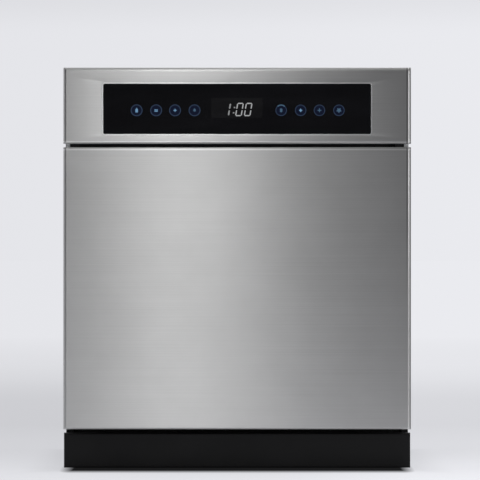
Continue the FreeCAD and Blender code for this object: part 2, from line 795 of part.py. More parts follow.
def power_inlet():
    """Recessed mains inlet in the back wall, with three flat pins."""
    wall_y = base_rear_y - plastic_wall
    y0 = wall_y - 22
    case = block(power_x - power_half, power_x + power_half, y0, base_rear_y + 2, power_z0, power_z1)
    recess = block(power_x - power_half + 6, power_x + power_half - 6, y0 + 4, base_rear_y + 3,
                   power_z0 + 4, power_z1 - 4)
    mid = (power_z0 + power_z1) / 2
    pins = [block(power_x + dx - 1, power_x + dx + 1, y0 + 3, y0 + 18, mid + dz - 3, mid + dz + 3)
            for dx, dz in ((-9, -3), (0, 4), (9, -3))]
    return [fused([case.cut(recess)] + pins)]


def softener_tank():
    """Resin and salt tank under the floor, with its filling neck through the tub floor."""
    tank = block(softener_x0, softener_x1, softener_y0, softener_y1, base_floor_top,
                 tub_floor_under - 4)
    neck = disc(salt_neck_radius, salt_x, salt_y, tub_floor_under - 4, tub_floor_top + 1.5)
    bore = disc(salt_neck_radius - 4, salt_x, salt_y, tub_floor_under - 60, tub_floor_top + 2)
    return [fused([tank, neck]).cut(bore)]


def softener_cap():
    """Screw cap on the salt neck, with a raised grip."""
    z = tub_floor_top + 1.5 + touch_gap / 3
    head = disc(salt_neck_radius + 3, salt_x, salt_y, z, z + 5)
    plug = disc(salt_neck_radius - 4.5, salt_x, salt_y, z - 10, z)
    grip = block(salt_x - 20, salt_x + 20, salt_y - 3, salt_y + 3, z + 5, z + 11)
    return [fused([head, plug, grip])]


def water_float():
    """Float dome over the level switch, with its stem down through the floor."""
    z = tub_floor_top + touch_gap
    dome = disc(float_radius, float_x, float_y, z, z + 14)
    dome = dome.makeFillet(4, [e for e in dome.Edges if abs(e.BoundBox.ZMin - z - 14) < 0.01])
    stem = disc(3, float_x, float_y, z - 20, z)
    return [fused([dome, stem])]


upper_arm_z1 = upper_rack_floor - 20.0
upper_arm_z0 = upper_arm_z1 - arm_thick
feed_z = upper_rack_floor - 11.5
feed_radius = 7.0
dock_y = riser_y - pipe_radius - 6.0


def riser_pipe():
    """Pipe from the sump up the tub's back wall to the roof, with a dock for the upper arm."""
    low_z = sump_bottom + 30
    roof_z = tub_roof - pipe_radius - 3
    path = [Vector(0, tub_mid_y, low_z), Vector(0, riser_y, low_z),
            Vector(0, riser_y, roof_z), Vector(0, tub_mid_y, roof_z)]
    run = clear_of_sump(pipe(pipe_radius, path))
    dock = rod(feed_radius + 4, Vector(0, dock_y, feed_z), Vector(0, riser_y, feed_z))
    shower = disc(34, 0, tub_mid_y, roof_z - pipe_radius - 2, roof_z - pipe_radius + 6)
    wall_clip = block(-6, 6, riser_y, tub_rear_y, tub_floor_top + 60, tub_floor_top + 75)
    roof_clip = block(-6, 6, tub_mid_y + 60, tub_mid_y + 75, roof_z, tub_roof)
    return [fused([run, dock, shower, wall_clip, roof_clip])]


# Rack rails

rail_z0 = rail_z - rail_height / 2
rail_z1 = rail_z + rail_height / 2
rail_front_y = tub_front_y + 12.0
rail_rear_y = tub_rear_y - 20.0


def rail_channel(x0, x1, z0, z1, y0, y1):
    """A C-shaped channel, open towards the middle of the tub."""
    back = block(x1 - rail_lip, x1, y0, y1, z0, z1)
    low = block(x0, x1 - rail_lip, y0, y1, z0, z0 + rail_lip)
    high = block(x0, x1 - rail_lip, y0, y1, z1 - rail_lip, z1)
    return [back, low, high]


def upper_rails():
    x1 = tub_half_width
    return both_sides([fused(rail_channel(x1 - rail_depth, x1, rail_z0, rail_z1,
                                          rail_front_y, rail_rear_y))])


middle_x1 = tub_half_width - rail_lip - rail_gap
middle_z0 = rail_z0 + rail_lip + rail_gap
middle_z1 = rail_z1 - rail_lip - rail_gap


def rail_middles():
    """The middle members of the two telescopic rails, which move as one with the rack."""
    x0 = tub_half_width - rail_depth + 1
    return both_sides([fused(rail_channel(x0, middle_x1, middle_z0, middle_z1,
                                          rail_front_y + 1, rail_rear_y))])


# Wire racks, as straight rods laid one over the other

layer = 2 * wire_radius + 0.05


def rods_x(radius, half, places):
    return [rod(radius, Vector(-half, y, z), Vector(half, y, z)) for y, z in places]


def rods_y(radius, y0, y1, places):
    return [rod(radius, Vector(x, y0, z), Vector(x, y1, z)) for x, z in places]


def rods_z(radius, z0, z1, places):
    return [rod(radius, Vector(x, y, z0), Vector(x, y, z1)) for x, y in places]


def rack_walls(half, y0, y1, z0, z1, across, along):
    """Top frame and upright wires on all four sides."""
    frame_z = z1 - frame_wire_radius
    reach = frame_wire_radius + wire_radius + 0.05
    shapes = rods_x(frame_wire_radius, half + reach + frame_wire_radius,
                    [(y0 - reach, frame_z), (y1 + reach, frame_z)])
    shapes += rods_y(frame_wire_radius, y0 - reach + frame_wire_radius + 0.05,
                     y1 + reach - frame_wire_radius - 0.05,
                     [(-half - reach, frame_z), (half + reach, frame_z)])
    shapes += rods_z(wire_radius, z0, z1 - 1, [(x, y) for x in (-half, half) for y in along])
    shapes += rods_z(wire_radius, z0 + layer, z1 - 1, [(x, y) for x in across for y in (y0, y1)])
    return shapes


upper_x_places = evenly(-upper_rack_half + 22, upper_rack_half - 22, 10)
upper_y_places = evenly(rack_front_y + 26, rack_rear_y - 26, 7)
upper_top = upper_rack_floor + upper_rack_height
slide_x0 = tub_half_width - rail_depth - 5.0


def upper_rack():
    """Upper basket with its inner slides, the feed pipe and the upper arm's bearing."""
    y0 = rack_front_y + 6
    y1 = rack_rear_y - 6
    floor_z = upper_rack_floor - layer / 2
    shapes = rods_x(wire_radius, upper_rack_half - wire_radius - 0.05,
                    [(y, floor_z) for y in upper_y_places])
    shapes += rods_y(wire_radius, y0 + wire_radius + 0.05, y1 - wire_radius - 0.05,
                     [(x, floor_z + layer) for x in upper_x_places])
    shapes += rack_walls(upper_rack_half, y0, y1, floor_z - wire_radius, upper_top,
                         upper_x_places, upper_y_places)
    tine_z = floor_z + layer + wire_radius + 0.05
    for x in (upper_x_places[3], upper_x_places[6]):
        rows = evenly(y0 + 40, y1 - 40, 9)
        shapes += rods_z(tine_radius, tine_z, tine_z + upper_tine_height, [(x, y) for y in rows])
    shapes += both_sides(inner_slide())
    shapes += [upper_feed(y0)]
    shapes += [rack_handle(y0, upper_top)]
    return shapes


def inner_slide():
    """The rail's inner member and the carrier plate that the basket's side hangs on."""
    z0 = middle_z0 + rail_lip + rail_gap
    z1 = middle_z1 - rail_lip - rail_gap
    slide = block(slide_x0, middle_x1 - rail_lip - rail_gap, rack_front_y, rail_rear_y, z0, z1)
    carrier = block(upper_rack_half + wire_radius + 0.05, slide_x0, rack_front_y + 60,
                    rack_rear_y - 60, z0 - 8, z1 + 8)
    return [fused([slide, carrier])]


def upper_feed(y0):
    """Feed pipe under the basket, the arm's bearing shaft and the nut that holds the arm."""
    pipe_run = rod(feed_radius, Vector(0, tub_mid_y, feed_z), Vector(0, dock_y - 0.5, feed_z))
    head_top = upper_rack_floor - layer / 2 - wire_radius - 0.1
    head = disc(16, 0, tub_mid_y, upper_arm_z1 + 0.5, head_top)
    shaft = disc(6, 0, tub_mid_y, upper_arm_z0 - 3, upper_arm_z1 + 1)
    nut = disc(10, 0, tub_mid_y, upper_arm_z0 - 6, upper_arm_z0 - 0.5)
    return fused([pipe_run, head, shaft, nut])


def rack_handle(y0, top):
    """Plastic grip on the front wires of a rack."""
    y = y0 - wire_radius - 0.1
    return block(-handle_half, handle_half, y - 5, y, top - 34, top - 2 * frame_wire_radius - 1)


def upper_spray_arm():
    return [spray_arm(upper_arm_reach, 0, tub_mid_y, upper_arm_z0, upper_arm_z1, 6)]


shelf_z = upper_rack_floor + 84.0
shelf_width = 86.0
shelf_thick = 3.0
shelf_y0 = rack_front_y + 30.0
shelf_y1 = rack_rear_y - 30.0
shelf_x = upper_rack_half - wire_radius - touch_gap - shelf_thick / 2


def cup_shelf(side):
    """Slotted plastic shelf for cups, hinged on the basket's side wire."""
    x0 = shelf_x - shelf_width
    barrel = rod(shelf_thick / 2, Vector(shelf_x, shelf_y0, shelf_z),
                 Vector(shelf_x, shelf_y1, shelf_z))
    shelf = block(x0, shelf_x, shelf_y0, shelf_y1, shelf_z - shelf_thick / 2,
                  shelf_z + shelf_thick / 2)
    slots = [block(x0 + 12, shelf_x - 14, y - 12, y + 12, shelf_z - 5, shelf_z + 5)
             for y in evenly(shelf_y0 + 24, shelf_y1 - 24, 9)]
    shelf = cut_all(fused([shelf, barrel]), slots)
    return [shelf] if side > 0 else [mirrored(shelf)]


lower_x_places = evenly(-lower_rack_half + 20, lower_rack_half - 20, 9)
nose_y = rack_front_y + 6 + lower_rack_nose
lower_y_places = evenly(nose_y, rack_rear_y - 20, 8)
lower_top = lower_rack_floor + lower_rack_height
axle_z = ledge_top + touch_gap + wheel_radius
wheel_y_places = evenly(rack_front_y + wheel_front_gap, rack_rear_y - wheel_rear_gap, 3)


def lower_rack():
    """Lower basket, with a raised nose that clears the door, tines and the wheel axles."""
    y0 = rack_front_y + 6
    y1 = rack_rear_y - 6
    floor_z = lower_rack_floor + wire_radius
    half = lower_rack_half
    shapes = rods_x(wire_radius, half - wire_radius - 0.05, [(y, floor_z) for y in lower_y_places])
    shapes += rods_y(wire_radius, nose_y, y1 - wire_radius - 0.05,
                     [(x, floor_z + layer) for x in lower_x_places])
    nose_z = floor_z + layer + lower_rack_nose_rise
    for x in lower_x_places:
        shapes.append(rod(wire_radius, Vector(x, y0 + wire_radius + 1.8, nose_z + 1),
                          Vector(x, nose_y - 1.0, floor_z + layer + 2.5)))
    shapes += lower_walls(half, y0, y1, floor_z, nose_z)
    tine_z = floor_z + layer + wire_radius + 0.05
    for x in (lower_x_places[1], lower_x_places[3]):
        rows = evenly(nose_y + 12, y1 - 30, 11)
        shapes += rods_z(tine_radius, tine_z, tine_z + lower_tine_height, [(x, y) for y in rows])
    for y in wheel_y_places:
        shapes += both_sides([axle_bracket(y)])
    shapes += [rack_handle(y0, lower_top)]
    return shapes


def lower_walls(half, y0, y1, floor_z, nose_z):
    frame_z = lower_top - frame_wire_radius
    reach = frame_wire_radius + wire_radius + 0.05
    shapes = rods_x(frame_wire_radius, half + reach + frame_wire_radius,
                    [(y0 - reach, frame_z), (y1 + reach, frame_z)])
    shapes += rods_y(frame_wire_radius, y0 - reach + frame_wire_radius + 0.05,
                     y1 + reach - frame_wire_radius - 0.05,
                     [(-half - reach, frame_z), (half + reach, frame_z)])
    shapes += rods_z(wire_radius, floor_z - wire_radius, lower_top - 1,
                     [(x, y) for x in (-half, half) for y in lower_y_places])
    shapes += rods_z(wire_radius, nose_z, lower_top - 1, [(x, y0) for x in lower_x_places])
    shapes += rods_z(wire_radius, floor_z + layer, lower_top - 1, [(x, y1) for x in lower_x_places])
    shapes += rods_y(frame_wire_radius, nose_y, y1,
                     [(-half - reach, axle_z + 14), (half + reach, axle_z + 14)])
    return shapes


def axle_bracket(y):
    """Plastic bracket on the basket's lower side wire, with the wheel's stub axle."""
    x0 = lower_rack_half + wire_radius + 0.1
    x1 = wheel_x0 - 1
    plate = block(x0, x1, y - 9, y + 9, axle_z - 7, axle_z + 10.9)
    axle = rod(axle_radius, Vector(x0, y, axle_z), Vector(wheel_x1 + 1, y, axle_z))
    button = rod(axle_radius + 2.5, Vector(wheel_x1 + 0.5, y, axle_z), Vector(wheel_x1 + 2.5, y, axle_z))
    return fused([plate, axle, button])


def rack_wheels(y):
    """The two wheels, left and right, that run on the ledges at one place along the rack."""
    x0, x1 = wheel_x0, wheel_x1
    wheel = rod(wheel_radius, Vector(x0, y, axle_z), Vector(x1, y, axle_z))
    wheel = wheel.cut(rod(axle_radius + run_gap, Vector(x0 - 1, y, axle_z), Vector(x1 + 1, y, axle_z)))
    return both_sides([wheel])


fold_x = lower_x_places[6]
fold_z = lower_rack_floor + wire_radius + layer + wire_radius + 3.0
fold_tine_height = 66.0
fold_y0 = nose_y + 12.0
fold_y1 = rack_rear_y - 80.0


def folding_tines():
    """A row of tines on a rod along the rack's floor that folds down flat."""
    shaft = rod(2.4, Vector(fold_x, fold_y0 - 8, fold_z), Vector(fold_x, fold_y1 + 8, fold_z))
    tines = rods_z(tine_radius, fold_z, fold_z + fold_tine_height,
                   [(fold_x, y) for y in evenly(fold_y0, fold_y1, 8)])
    return [fused([shaft] + tines)]


basket_x0 = lower_x_places[7] + 4.0
basket_x1 = lower_rack_half - wire_radius - 2.0
basket_y0 = nose_y + 10.0
basket_y1 = rack_rear_y - 60.0
basket_height = 96.0


def cutlery_basket():
    """Open plastic basket for cutlery, divided into cells, standing on the rack's floor."""
    z0 = lower_rack_floor + wire_radius + layer + wire_radius + 0.1
    wall = 2.0
    basket = block(basket_x0, basket_x1, basket_y0, basket_y1, z0, z0 + basket_height)
    cells = 4
    pitch = (basket_y1 - basket_y0 - wall) / cells
    for i in range(cells):
        y = basket_y0 + wall + i * pitch
        basket = basket.cut(block(basket_x0 + wall, basket_x1 - wall, y, y + pitch - wall,
                                  z0 + wall, z0 + basket_height + 1))
    return [basket]


# Cabinet

foot_front_y = base_front_y + 36.0
foot_rear_y = base_rear_y - 30.0
foot_places = {
    "foot_front_left": (-foot_x, foot_front_y),
    "foot_front_right": (foot_x, foot_front_y),
    "foot_rear_left": (-foot_x, foot_rear_y),
    "foot_rear_right": (foot_x, foot_rear_y),
}
boss_top = base_floor_top + 44.0
rib_x = tub_half_width - 22.0
bracket_x = body_half - bracket_inset
bracket_y = tub_front_y + 13.0
bracket_hole = 2.6


def base_tray():
    """Plastic base: floor, four walls, a skirt under the side panels and ribs under the tub."""
    tray = block(-base_half, base_half, base_front_y, base_rear_y, base_bottom, base_wall_top)
    tray = tray.cut(block(-base_half + plastic_wall, base_half - plastic_wall,
                          base_front_y + plastic_wall, base_rear_y - plastic_wall,
                          base_floor_top, base_wall_top + 1))
    skirt = block(-body_half + sheet, body_half - sheet, base_front_y + 30, base_rear_y,
                  base_bottom, base_floor_top)
    ribs = both_sides([block(rib_x, rib_x + 5, base_front_y + 30, base_rear_y - plastic_wall,
                             base_floor_top, tub_floor_under)])
    bosses = [disc(foot_boss_radius, x, y, base_floor_top, boss_top)
              for x, y in foot_places.values()]
    tray = fused([tray, skirt] + ribs + bosses)
    holes = [disc(foot_stem_radius + run_gap, x, y, 0, boss_top + 1) for x, y in foot_places.values()]
    wall_y0 = base_rear_y - plastic_wall - 1
    holes.append(rod(inlet_radius + 2 + touch_gap, Vector(inlet_x, wall_y0, inlet_z),
                     Vector(inlet_x, rear_y, inlet_z)))
    holes.append(rod(drain_pipe_radius + touch_gap, Vector(outlet_x, wall_y0, outlet_z),
                     Vector(outlet_x, rear_y, outlet_z)))
    holes.append(block(power_x - power_half - touch_gap, power_x + power_half + touch_gap, wall_y0,
                       rear_y, power_z0 - touch_gap, power_z1 + touch_gap))
    return [cut_all(tray, holes)]


def plinth():
    """Black kick plate with returned ends and two arms back to the base."""
    half = front_half - plinth_inset
    y0 = front_y + plinth_setback
    plate = front_slab(half, y0, y0 + 18, floor_gap, plinth_top, 3, 3, 2)
    plate = plate.cut(block(-half + plinth_sheet, half - plinth_sheet, y0 + plinth_sheet, y0 + 40,
                            floor_gap - 1, plinth_top - plinth_sheet))
    arm_x = half - plinth_arm_inset
    arms = both_sides([block(arm_x - 25, arm_x, y0 + plinth_sheet, base_front_y, floor_gap + 20,
                             floor_gap + 24)])
    return [plate] + arms


def side_panels():
    """Steel sides with a flange turned in at the front, above the hinges."""
    x0, x1 = body_half - sheet, body_half
    panel = block(x0, x1, tub_front_y + 1, rear_y - sheet, base_bottom, body_top - sheet)
    low_front = block(x0 - 1, x1 + 1, tub_front_y, base_front_y + 5, base_bottom - 1,
                      hinge_height + 2)
    flange = block(flange_x + touch_gap, x0, tub_front_y + 1, tub_front_y + 2,
                   hinge_height + 45, body_top - sheet)
    return both_sides([fused([panel.cut(low_front), flange])])


def top_panel():
    """Steel lid with two pressed ribs."""
    lid = block(-body_half, body_half, tub_front_y + 1, rear_y - sheet, body_top - sheet, body_top)
    rib_half = (rear_y - tub_front_y) * 0.3
    ribs = both_sides([block(lid_rib_x, lid_rib_x + lid_rib_width, tub_mid_y - rib_half,
                             tub_mid_y + rib_half, body_top, body_top + 1.5)])
    holes = both_sides([disc(bracket_hole + touch_gap, bracket_x, bracket_y, body_top - 5, body_top + 5)])
    return [cut_all(fused([lid] + ribs), holes)]


def rear_panel():
    return [block(-body_half, body_half, rear_y - sheet, rear_y, base_wall_top + 8, body_top)]


def hinge_brackets():
    """Steel brackets on the sides that carry the door's pivot pins."""
    x0 = arm_plate_x + arm_plate + 1.2
    x1 = x0 + 3
    foot_y = base_front_y + 10
    boss = rod(9, Vector(x0, hinge_y, hinge_height), Vector(x1, hinge_y, hinge_height))
    strap = block(x0, x1, hinge_y, foot_y, hinge_height, hinge_height + 12)
    plate = block(x0, x1, foot_y, foot_y + 34, hinge_height - 10, hinge_height + 60)
    spacer = block(x1, body_half - sheet, foot_y + 6, foot_y + 30, hinge_height + 4, hinge_height + 50)
    pin = rod(hinge_pin_radius, Vector(arm_plate_x - 0.5, hinge_y, hinge_height),
              Vector(x0 + 1, hinge_y, hinge_height))
    return both_sides([fused([boss, strap, plate, spacer, pin])])


spring_x = base_half - 16.0
spring_z = base_bottom + base_axis_lift
spring_y0 = base_front_y + 50.0
spring_y1 = spring_y0 + spring_length


def door_springs():
    """Tension springs of the door in the base, each between its two posts."""
    coil = rod(spring_radius, Vector(spring_x, spring_y0, spring_z),
               Vector(spring_x, spring_y1, spring_z))
    coil = coil.cut(rod(5.5, Vector(spring_x, spring_y0 - 1, spring_z),
                        Vector(spring_x, spring_y1 + 1, spring_z)))
    posts = [block(spring_x - 9, spring_x + 9, y, y + 6, base_floor_top, spring_z + 9)
             for y in (spring_y0 - 6, spring_y1)]
    return both_sides([coil] + posts)


def fixing_brackets():
    """Tabs on the lid's front edge with a hole for the screw up into a worktop."""
    tab = block(bracket_x - tab_half, bracket_x + tab_half, bracket_y - tab_front,
                bracket_y + tab_rear, body_top, body_top + 2)
    tab = tab.cut(disc(bracket_hole, bracket_x, bracket_y, body_top - 1, body_top + 3))
    return both_sides([tab])


screw_radius = 4.0


def cabinet_screws():
    """Pan-head screws in the side panels and the rear panel."""
    heads = []
    for z in (base_bottom + 40, (base_bottom + body_top) / 2, body_top - 30):
        for y in (base_front_y + 60, rear_y - 25):
            heads.append(rod(screw_radius, Vector(body_half, y, z), Vector(body_half + 1.6, y, z)))
    return both_sides(heads)


def foot(x, y):
    """Adjustable foot: a pad on the floor and a stem up into the base."""
    pad = disc(foot_radius, x, y, 0, foot_pad)
    stem = disc(foot_stem_radius, x, y, foot_pad - 1, boss_top - 4)
    return [fused([pad, stem])]


os.makedirs("parts", exist_ok=True)
write("base_tray", base_tray())
write("plinth", plinth())
write("side_panels", side_panels())
write("top_panel", top_panel())
write("rear_panel", rear_panel())
write("tub_wrapper", tub_wrapper())
write("tub_rear_wall", tub_rear_wall())
write("tub_floor", tub_floor())
write("tub_gasket", tub_gasket())
write("sump", sump())
write("spray_hub", spray_hub())
write("filter_plate", filter_plate())
write("micro_filter", micro_filter())
write("lower_spray_arm", lower_spray_arm())
write("wash_pump_housing", wash_pump_housing())
write("wash_impeller", wash_impeller())
write("drain_pump_housing", drain_pump_housing())
write("drain_impeller", drain_impeller())
write("drain_outlet", drain_outlet())
write("water_inlet_valve", water_inlet_valve())
write("power_inlet", power_inlet())
write("softener_tank", softener_tank())
write("softener_cap", softener_cap())
write("water_float", water_float())
write("riser_pipe", riser_pipe())
write("upper_rails", upper_rails())
write("rail_middles", rail_middles())
write("upper_rack", upper_rack())
write("upper_spray_arm", upper_spray_arm())
write("cup_shelf_left", cup_shelf(-1))
write("cup_shelf_right", cup_shelf(1))
write("lower_rack", lower_rack())
write("folding_tines", folding_tines())
write("cutlery_basket", cutlery_basket())
for name, y in zip(("front", "middle", "rear"), wheel_y_places):
    write("rack_wheels_" + name, rack_wheels(y))
write("hinge_brackets", hinge_brackets())
write("door_springs", door_springs())
write("cabinet_screws", cabinet_screws())
write("fixing_brackets", fixing_brackets())
write("latch_strike", latch_strike())
for name, (x, y) in foot_places.items():
    write(name, foot(x, y))
write("door_panel", door_panel())
write("door_insulation", door_insulation())
write("console_fascia", console_fascia())
write("glass_bezel", glass_bezel())
write("control_glass", control_glass())
write("control_board", control_board())
write("console_housing", console_housing())
write("door_liner", door_liner())
write("hinge_arms", hinge_arms())
write("door_screws", door_screws())
write("dispenser_body", dispenser_body())
write("dispenser_flap", dispenser_flap())
write("rinse_cap", rinse_cap())
write("latch_cam", latch_cam())
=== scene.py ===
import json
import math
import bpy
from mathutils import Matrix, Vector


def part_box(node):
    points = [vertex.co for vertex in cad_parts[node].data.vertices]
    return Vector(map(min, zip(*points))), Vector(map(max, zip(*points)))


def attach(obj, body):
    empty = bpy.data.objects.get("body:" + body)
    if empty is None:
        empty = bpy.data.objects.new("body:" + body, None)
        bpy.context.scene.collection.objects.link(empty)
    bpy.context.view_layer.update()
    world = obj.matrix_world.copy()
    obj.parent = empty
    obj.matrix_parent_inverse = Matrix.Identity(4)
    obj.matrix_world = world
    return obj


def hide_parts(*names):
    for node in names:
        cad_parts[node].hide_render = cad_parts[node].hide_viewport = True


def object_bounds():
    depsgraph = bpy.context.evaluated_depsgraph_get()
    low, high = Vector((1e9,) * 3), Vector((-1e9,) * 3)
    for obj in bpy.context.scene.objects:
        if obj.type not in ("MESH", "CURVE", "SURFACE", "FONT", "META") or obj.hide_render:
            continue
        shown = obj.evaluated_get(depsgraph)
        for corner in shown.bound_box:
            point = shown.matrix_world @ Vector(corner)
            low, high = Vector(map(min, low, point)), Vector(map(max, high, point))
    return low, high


bl_info = {
    "name": "Built-under Dishwasher",
    "version": (1, 0, 0),
    "blender": (4, 5, 0),
    "location": "View3D > Sidebar > Dishwasher",
    "description": "Steel front, touch console, tub, racks and cabinet of a dishwasher",
    "category": "Add Mesh",
}

import bmesh
import bpy
import numpy as np
from bpy.props import FloatProperty, FloatVectorProperty, PointerProperty
from bpy.types import Operator, Panel, PropertyGroup

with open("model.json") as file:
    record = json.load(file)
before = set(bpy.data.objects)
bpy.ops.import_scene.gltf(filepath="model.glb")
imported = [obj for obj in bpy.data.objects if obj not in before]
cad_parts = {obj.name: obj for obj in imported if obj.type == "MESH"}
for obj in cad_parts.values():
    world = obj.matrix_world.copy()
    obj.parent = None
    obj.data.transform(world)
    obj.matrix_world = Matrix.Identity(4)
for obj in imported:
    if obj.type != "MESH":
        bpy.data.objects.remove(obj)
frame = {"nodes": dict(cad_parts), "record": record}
cad_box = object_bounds()

# Shapes are worked out in millimetres, +Z up, with the front facing -Y.
MM = 0.001
HOME = {node: body for body, nodes in frame["record"]["behaviour"]["bodies"].items()
        for node in nodes}
SLOTS = {part["node"]: part["material_slot"] for part in frame["record"]["subparts"]}


def span(node):
    """Lowest and highest corner of a CAD node at rest, in millimetres."""
    low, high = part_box(node)
    return np.array(low) / MM, np.array(high) / MM


# Settings that a user would change


class FrontSettings(PropertyGroup):
    """Sizes and colours of the steel front and its touch console."""

    steel: FloatVectorProperty(
        name="Steel", description="Colour of the brushed front", subtype="COLOR",
        size=3, min=0, max=1, default=(0.60, 0.60, 0.595))
    glass: FloatVectorProperty(
        name="Glass", description="Colour of the control window", subtype="COLOR",
        size=3, min=0, max=1, default=(0.0035, 0.0035, 0.0042))
    side_round: FloatProperty(
        name="Side fold", description="Radius of the upright folds", unit="LENGTH", default=0.0055)
    edge_round: FloatProperty(
        name="Edge fold", description="Radius of the level folds", unit="LENGTH", default=0.0035)
    top_round: FloatProperty(
        name="Top fold", description="Radius along the console's top", unit="LENGTH",
        default=0.007)
    bezel: FloatProperty(
        name="Bezel", description="Width of the metal rim round the glass", unit="LENGTH",
        default=0.0026)
    key_radius: FloatProperty(
        name="Key ring", description="Outer radius of a touch ring", unit="LENGTH",
        default=0.0102)
    key_height: FloatProperty(
        name="Key height", description="Middle of the touch rings over the floor",
        unit="LENGTH", default=0.6188)
    ring_light: FloatVectorProperty(
        name="Ring light", description="Colour of the lit rings", subtype="COLOR",
        size=3, min=0, max=1, default=(0.019, 0.032, 0.062))
    glyph_light: FloatVectorProperty(
        name="Glyph light", description="Colour of the lit key marks", subtype="COLOR",
        size=3, min=0, max=1, default=(0.125, 0.25, 0.39))
    digit_light: FloatVectorProperty(
        name="Digit light", description="Colour of the time display", subtype="COLOR",
        size=3, min=0, max=1, default=(0.33, 0.335, 0.34))
    digit_height: FloatProperty(
        name="Digit height", description="Height of the time's digits", unit="LENGTH",
        default=0.0230)
    digit_slant: FloatProperty(
        name="Digit slant", description="Lean of the digits", subtype="ANGLE",
        default=math.radians(9.5))


class StageSettings(PropertyGroup):
    """Floor, backdrop tone, lamps and camera."""

    pale: FloatVectorProperty(
        name="Backdrop", description="Tone behind the object", subtype="COLOR",
        size=3, min=0, max=1, default=(0.80, 0.805, 0.84))
    lamp_power: FloatProperty(
        name="Streak lamps", description="Strength of the two upright lamps", default=1.0)
    distance: FloatProperty(
        name="Camera distance", description="Camera to the front", unit="LENGTH", default=6.0)
    frame_width: FloatProperty(
        name="Framed width", description="Width that the picture spans at the front",
        unit="LENGTH", default=0.8246)
    aim_x: FloatProperty(
        name="Aim across", description="Camera's place across", unit="LENGTH", default=0.005)
    aim_z: FloatProperty(
        name="Aim height", description="Camera's height", unit="LENGTH", default=0.396)


# Surfaces


def quarter(steps):
    """Angles of a quarter turn in even steps, with both ends."""
    return np.linspace(0, math.pi / 2, steps + 1)


def full_turn(steps):
    """Angles of a whole turn in even steps, without the last, which is the first again."""
    return np.linspace(0, 2 * math.pi, steps, endpoint=False)


def cells(rows, columns, wrap_rows=False, wrap_columns=True):
    """Quads between neighbours of a grid of points that is counted row by row."""
    row = np.arange(rows if wrap_rows else rows - 1)[:, None]
    column = np.arange(columns if wrap_columns else columns - 1)[None, :]
    below = (row + 1) % rows
    right = (column + 1) % columns
    quads = np.stack([row * columns + column, row * columns + right,
                      below * columns + right, below * columns + column], axis=-1)
    return quads.reshape(-1, 4).tolist()


def rim_of(rows, columns):
    """The points round the outside of such a grid, one after the other."""
    return np.concatenate([np.arange(columns), np.arange(1, rows) * columns + columns - 1,
                           (rows - 1) * columns + np.arange(columns - 2, -1, -1),
                           np.arange(rows - 2, 0, -1) * columns])


def skirt(rim, fresh):
    """Quads between a closed row of points and the new row that was made from it."""
    return np.stack([rim, fresh, np.roll(fresh, -1), np.roll(rim, -1)], axis=-1).tolist()


def loft(rings, ends=(True, True), wrap=False):
    """A skin over closed rings of equal count, an array of (rings, points, 3).

    Each point is joined to the same point of the next ring, and the first and last ring are
    closed with a flat face where ends says so.
    """
    rings = np.asarray(rings, float)
    count, size = rings.shape[:2]
    faces = cells(count, size, wrap_rows=wrap)
    if ends[0] and not wrap:
        faces.append(list(range(size))[::-1])
    if ends[1] and not wrap:
        faces.append(list(range((count - 1) * size, count * size)))
    return rings.reshape(-1, 3), faces


def joined(shapes):
    """Several shapes as one: points one after the other, faces counted on."""
    points, faces, start = [], [], 0
    for shape_points, shape_faces in shapes:
        points.append(shape_points)
        faces += [[start + i for i in face] for face in shape_faces]
        start += len(shape_points)
    return np.concatenate(points), faces


def moved(shape, by):
    """The shape at another place."""
    return shape[0] + by, shape[1]


def flipped(shape):
    """The mirror image across the middle plane; put() turns its faces out again."""
    return shape[0] * (-1, 1, 1), shape[1]


def both(shape):
    """The shape and its mirror image on the other side of the middle plane."""
    return joined([shape, flipped(shape)])


def ring_of(u0, u1, v0, v1, corner, steps=6):
    """A rounded rectangle in the u-v plane: each corner is a quarter circle about its centre."""
    turn = quarter(steps)
    arcs = []
    for k, (u, v) in enumerate(((u1 - corner, v1 - corner), (u0 + corner, v1 - corner),
                                (u0 + corner, v0 + corner), (u1 - corner, v0 + corner))):
        angle = turn + k * math.pi / 2
        arcs.append(np.stack([u + corner * np.cos(angle), v + corner * np.sin(angle)], axis=-1))
    return np.concatenate(arcs)


PLANES = {"front": (0, 2, 1), "side": (2, 0, 1), "flat": (0, 1, 2)}


def laid(uvw, plane):
    """Turns (u, v, depth) into x, y, z: front is x-z with depth y, side is y-z with depth x."""
    return uvw[..., list(PLANES[plane])]


def raised(outline, level):
    """A flat outline of (u, v) pairs with one depth for all its points."""
    return np.column_stack([outline, np.full(len(outline), float(level))])


def pressing(box, rings, ends):
    """Rounded rectangles in the front's plane, each inset from the box and at its own depth.

    box is (x0, x1, z0, z1) and each ring is (inset, depth, corner radius), in order.
    """
    x0, x1, z0, z1 = box
    built = [raised(ring_of(x0 + inset, x1 - inset, z0 + inset, z1 - inset, corner, 8), depth)
             for inset, depth, corner in rings]
    points, faces = loft(np.array(built), ends)
    return laid(points, "front"), faces


def soft_block(low, high, radius, steps=2):
    """A block with rounded edges: rounded rectangles stacked along z, drawn in at both ends."""
    low, high = np.asarray(low, float), np.asarray(high, float)
    radius = min(radius, 0.499 * float(np.min(high - low)))
    insets = radius * (1 - np.sin(quarter(steps)))
    rises = radius * (1 - np.cos(quarter(steps)))
    levels = [*zip(insets, low[2] + rises), *zip(insets[::-1], high[2] - rises[::-1])]
    rings = [raised(ring_of(low[0] + inset, high[0] - inset, low[1] + inset, high[1] - inset,
                            max(radius - inset, 0.01 * radius), steps), z)
             for inset, z in levels]
    return loft(np.array(rings))


# Plane of the circles round each axis, and the radius in millimetres that stands for a point
ROUND = {"x": "side", "y": "front", "z": "flat"}
POINT = 1e-4


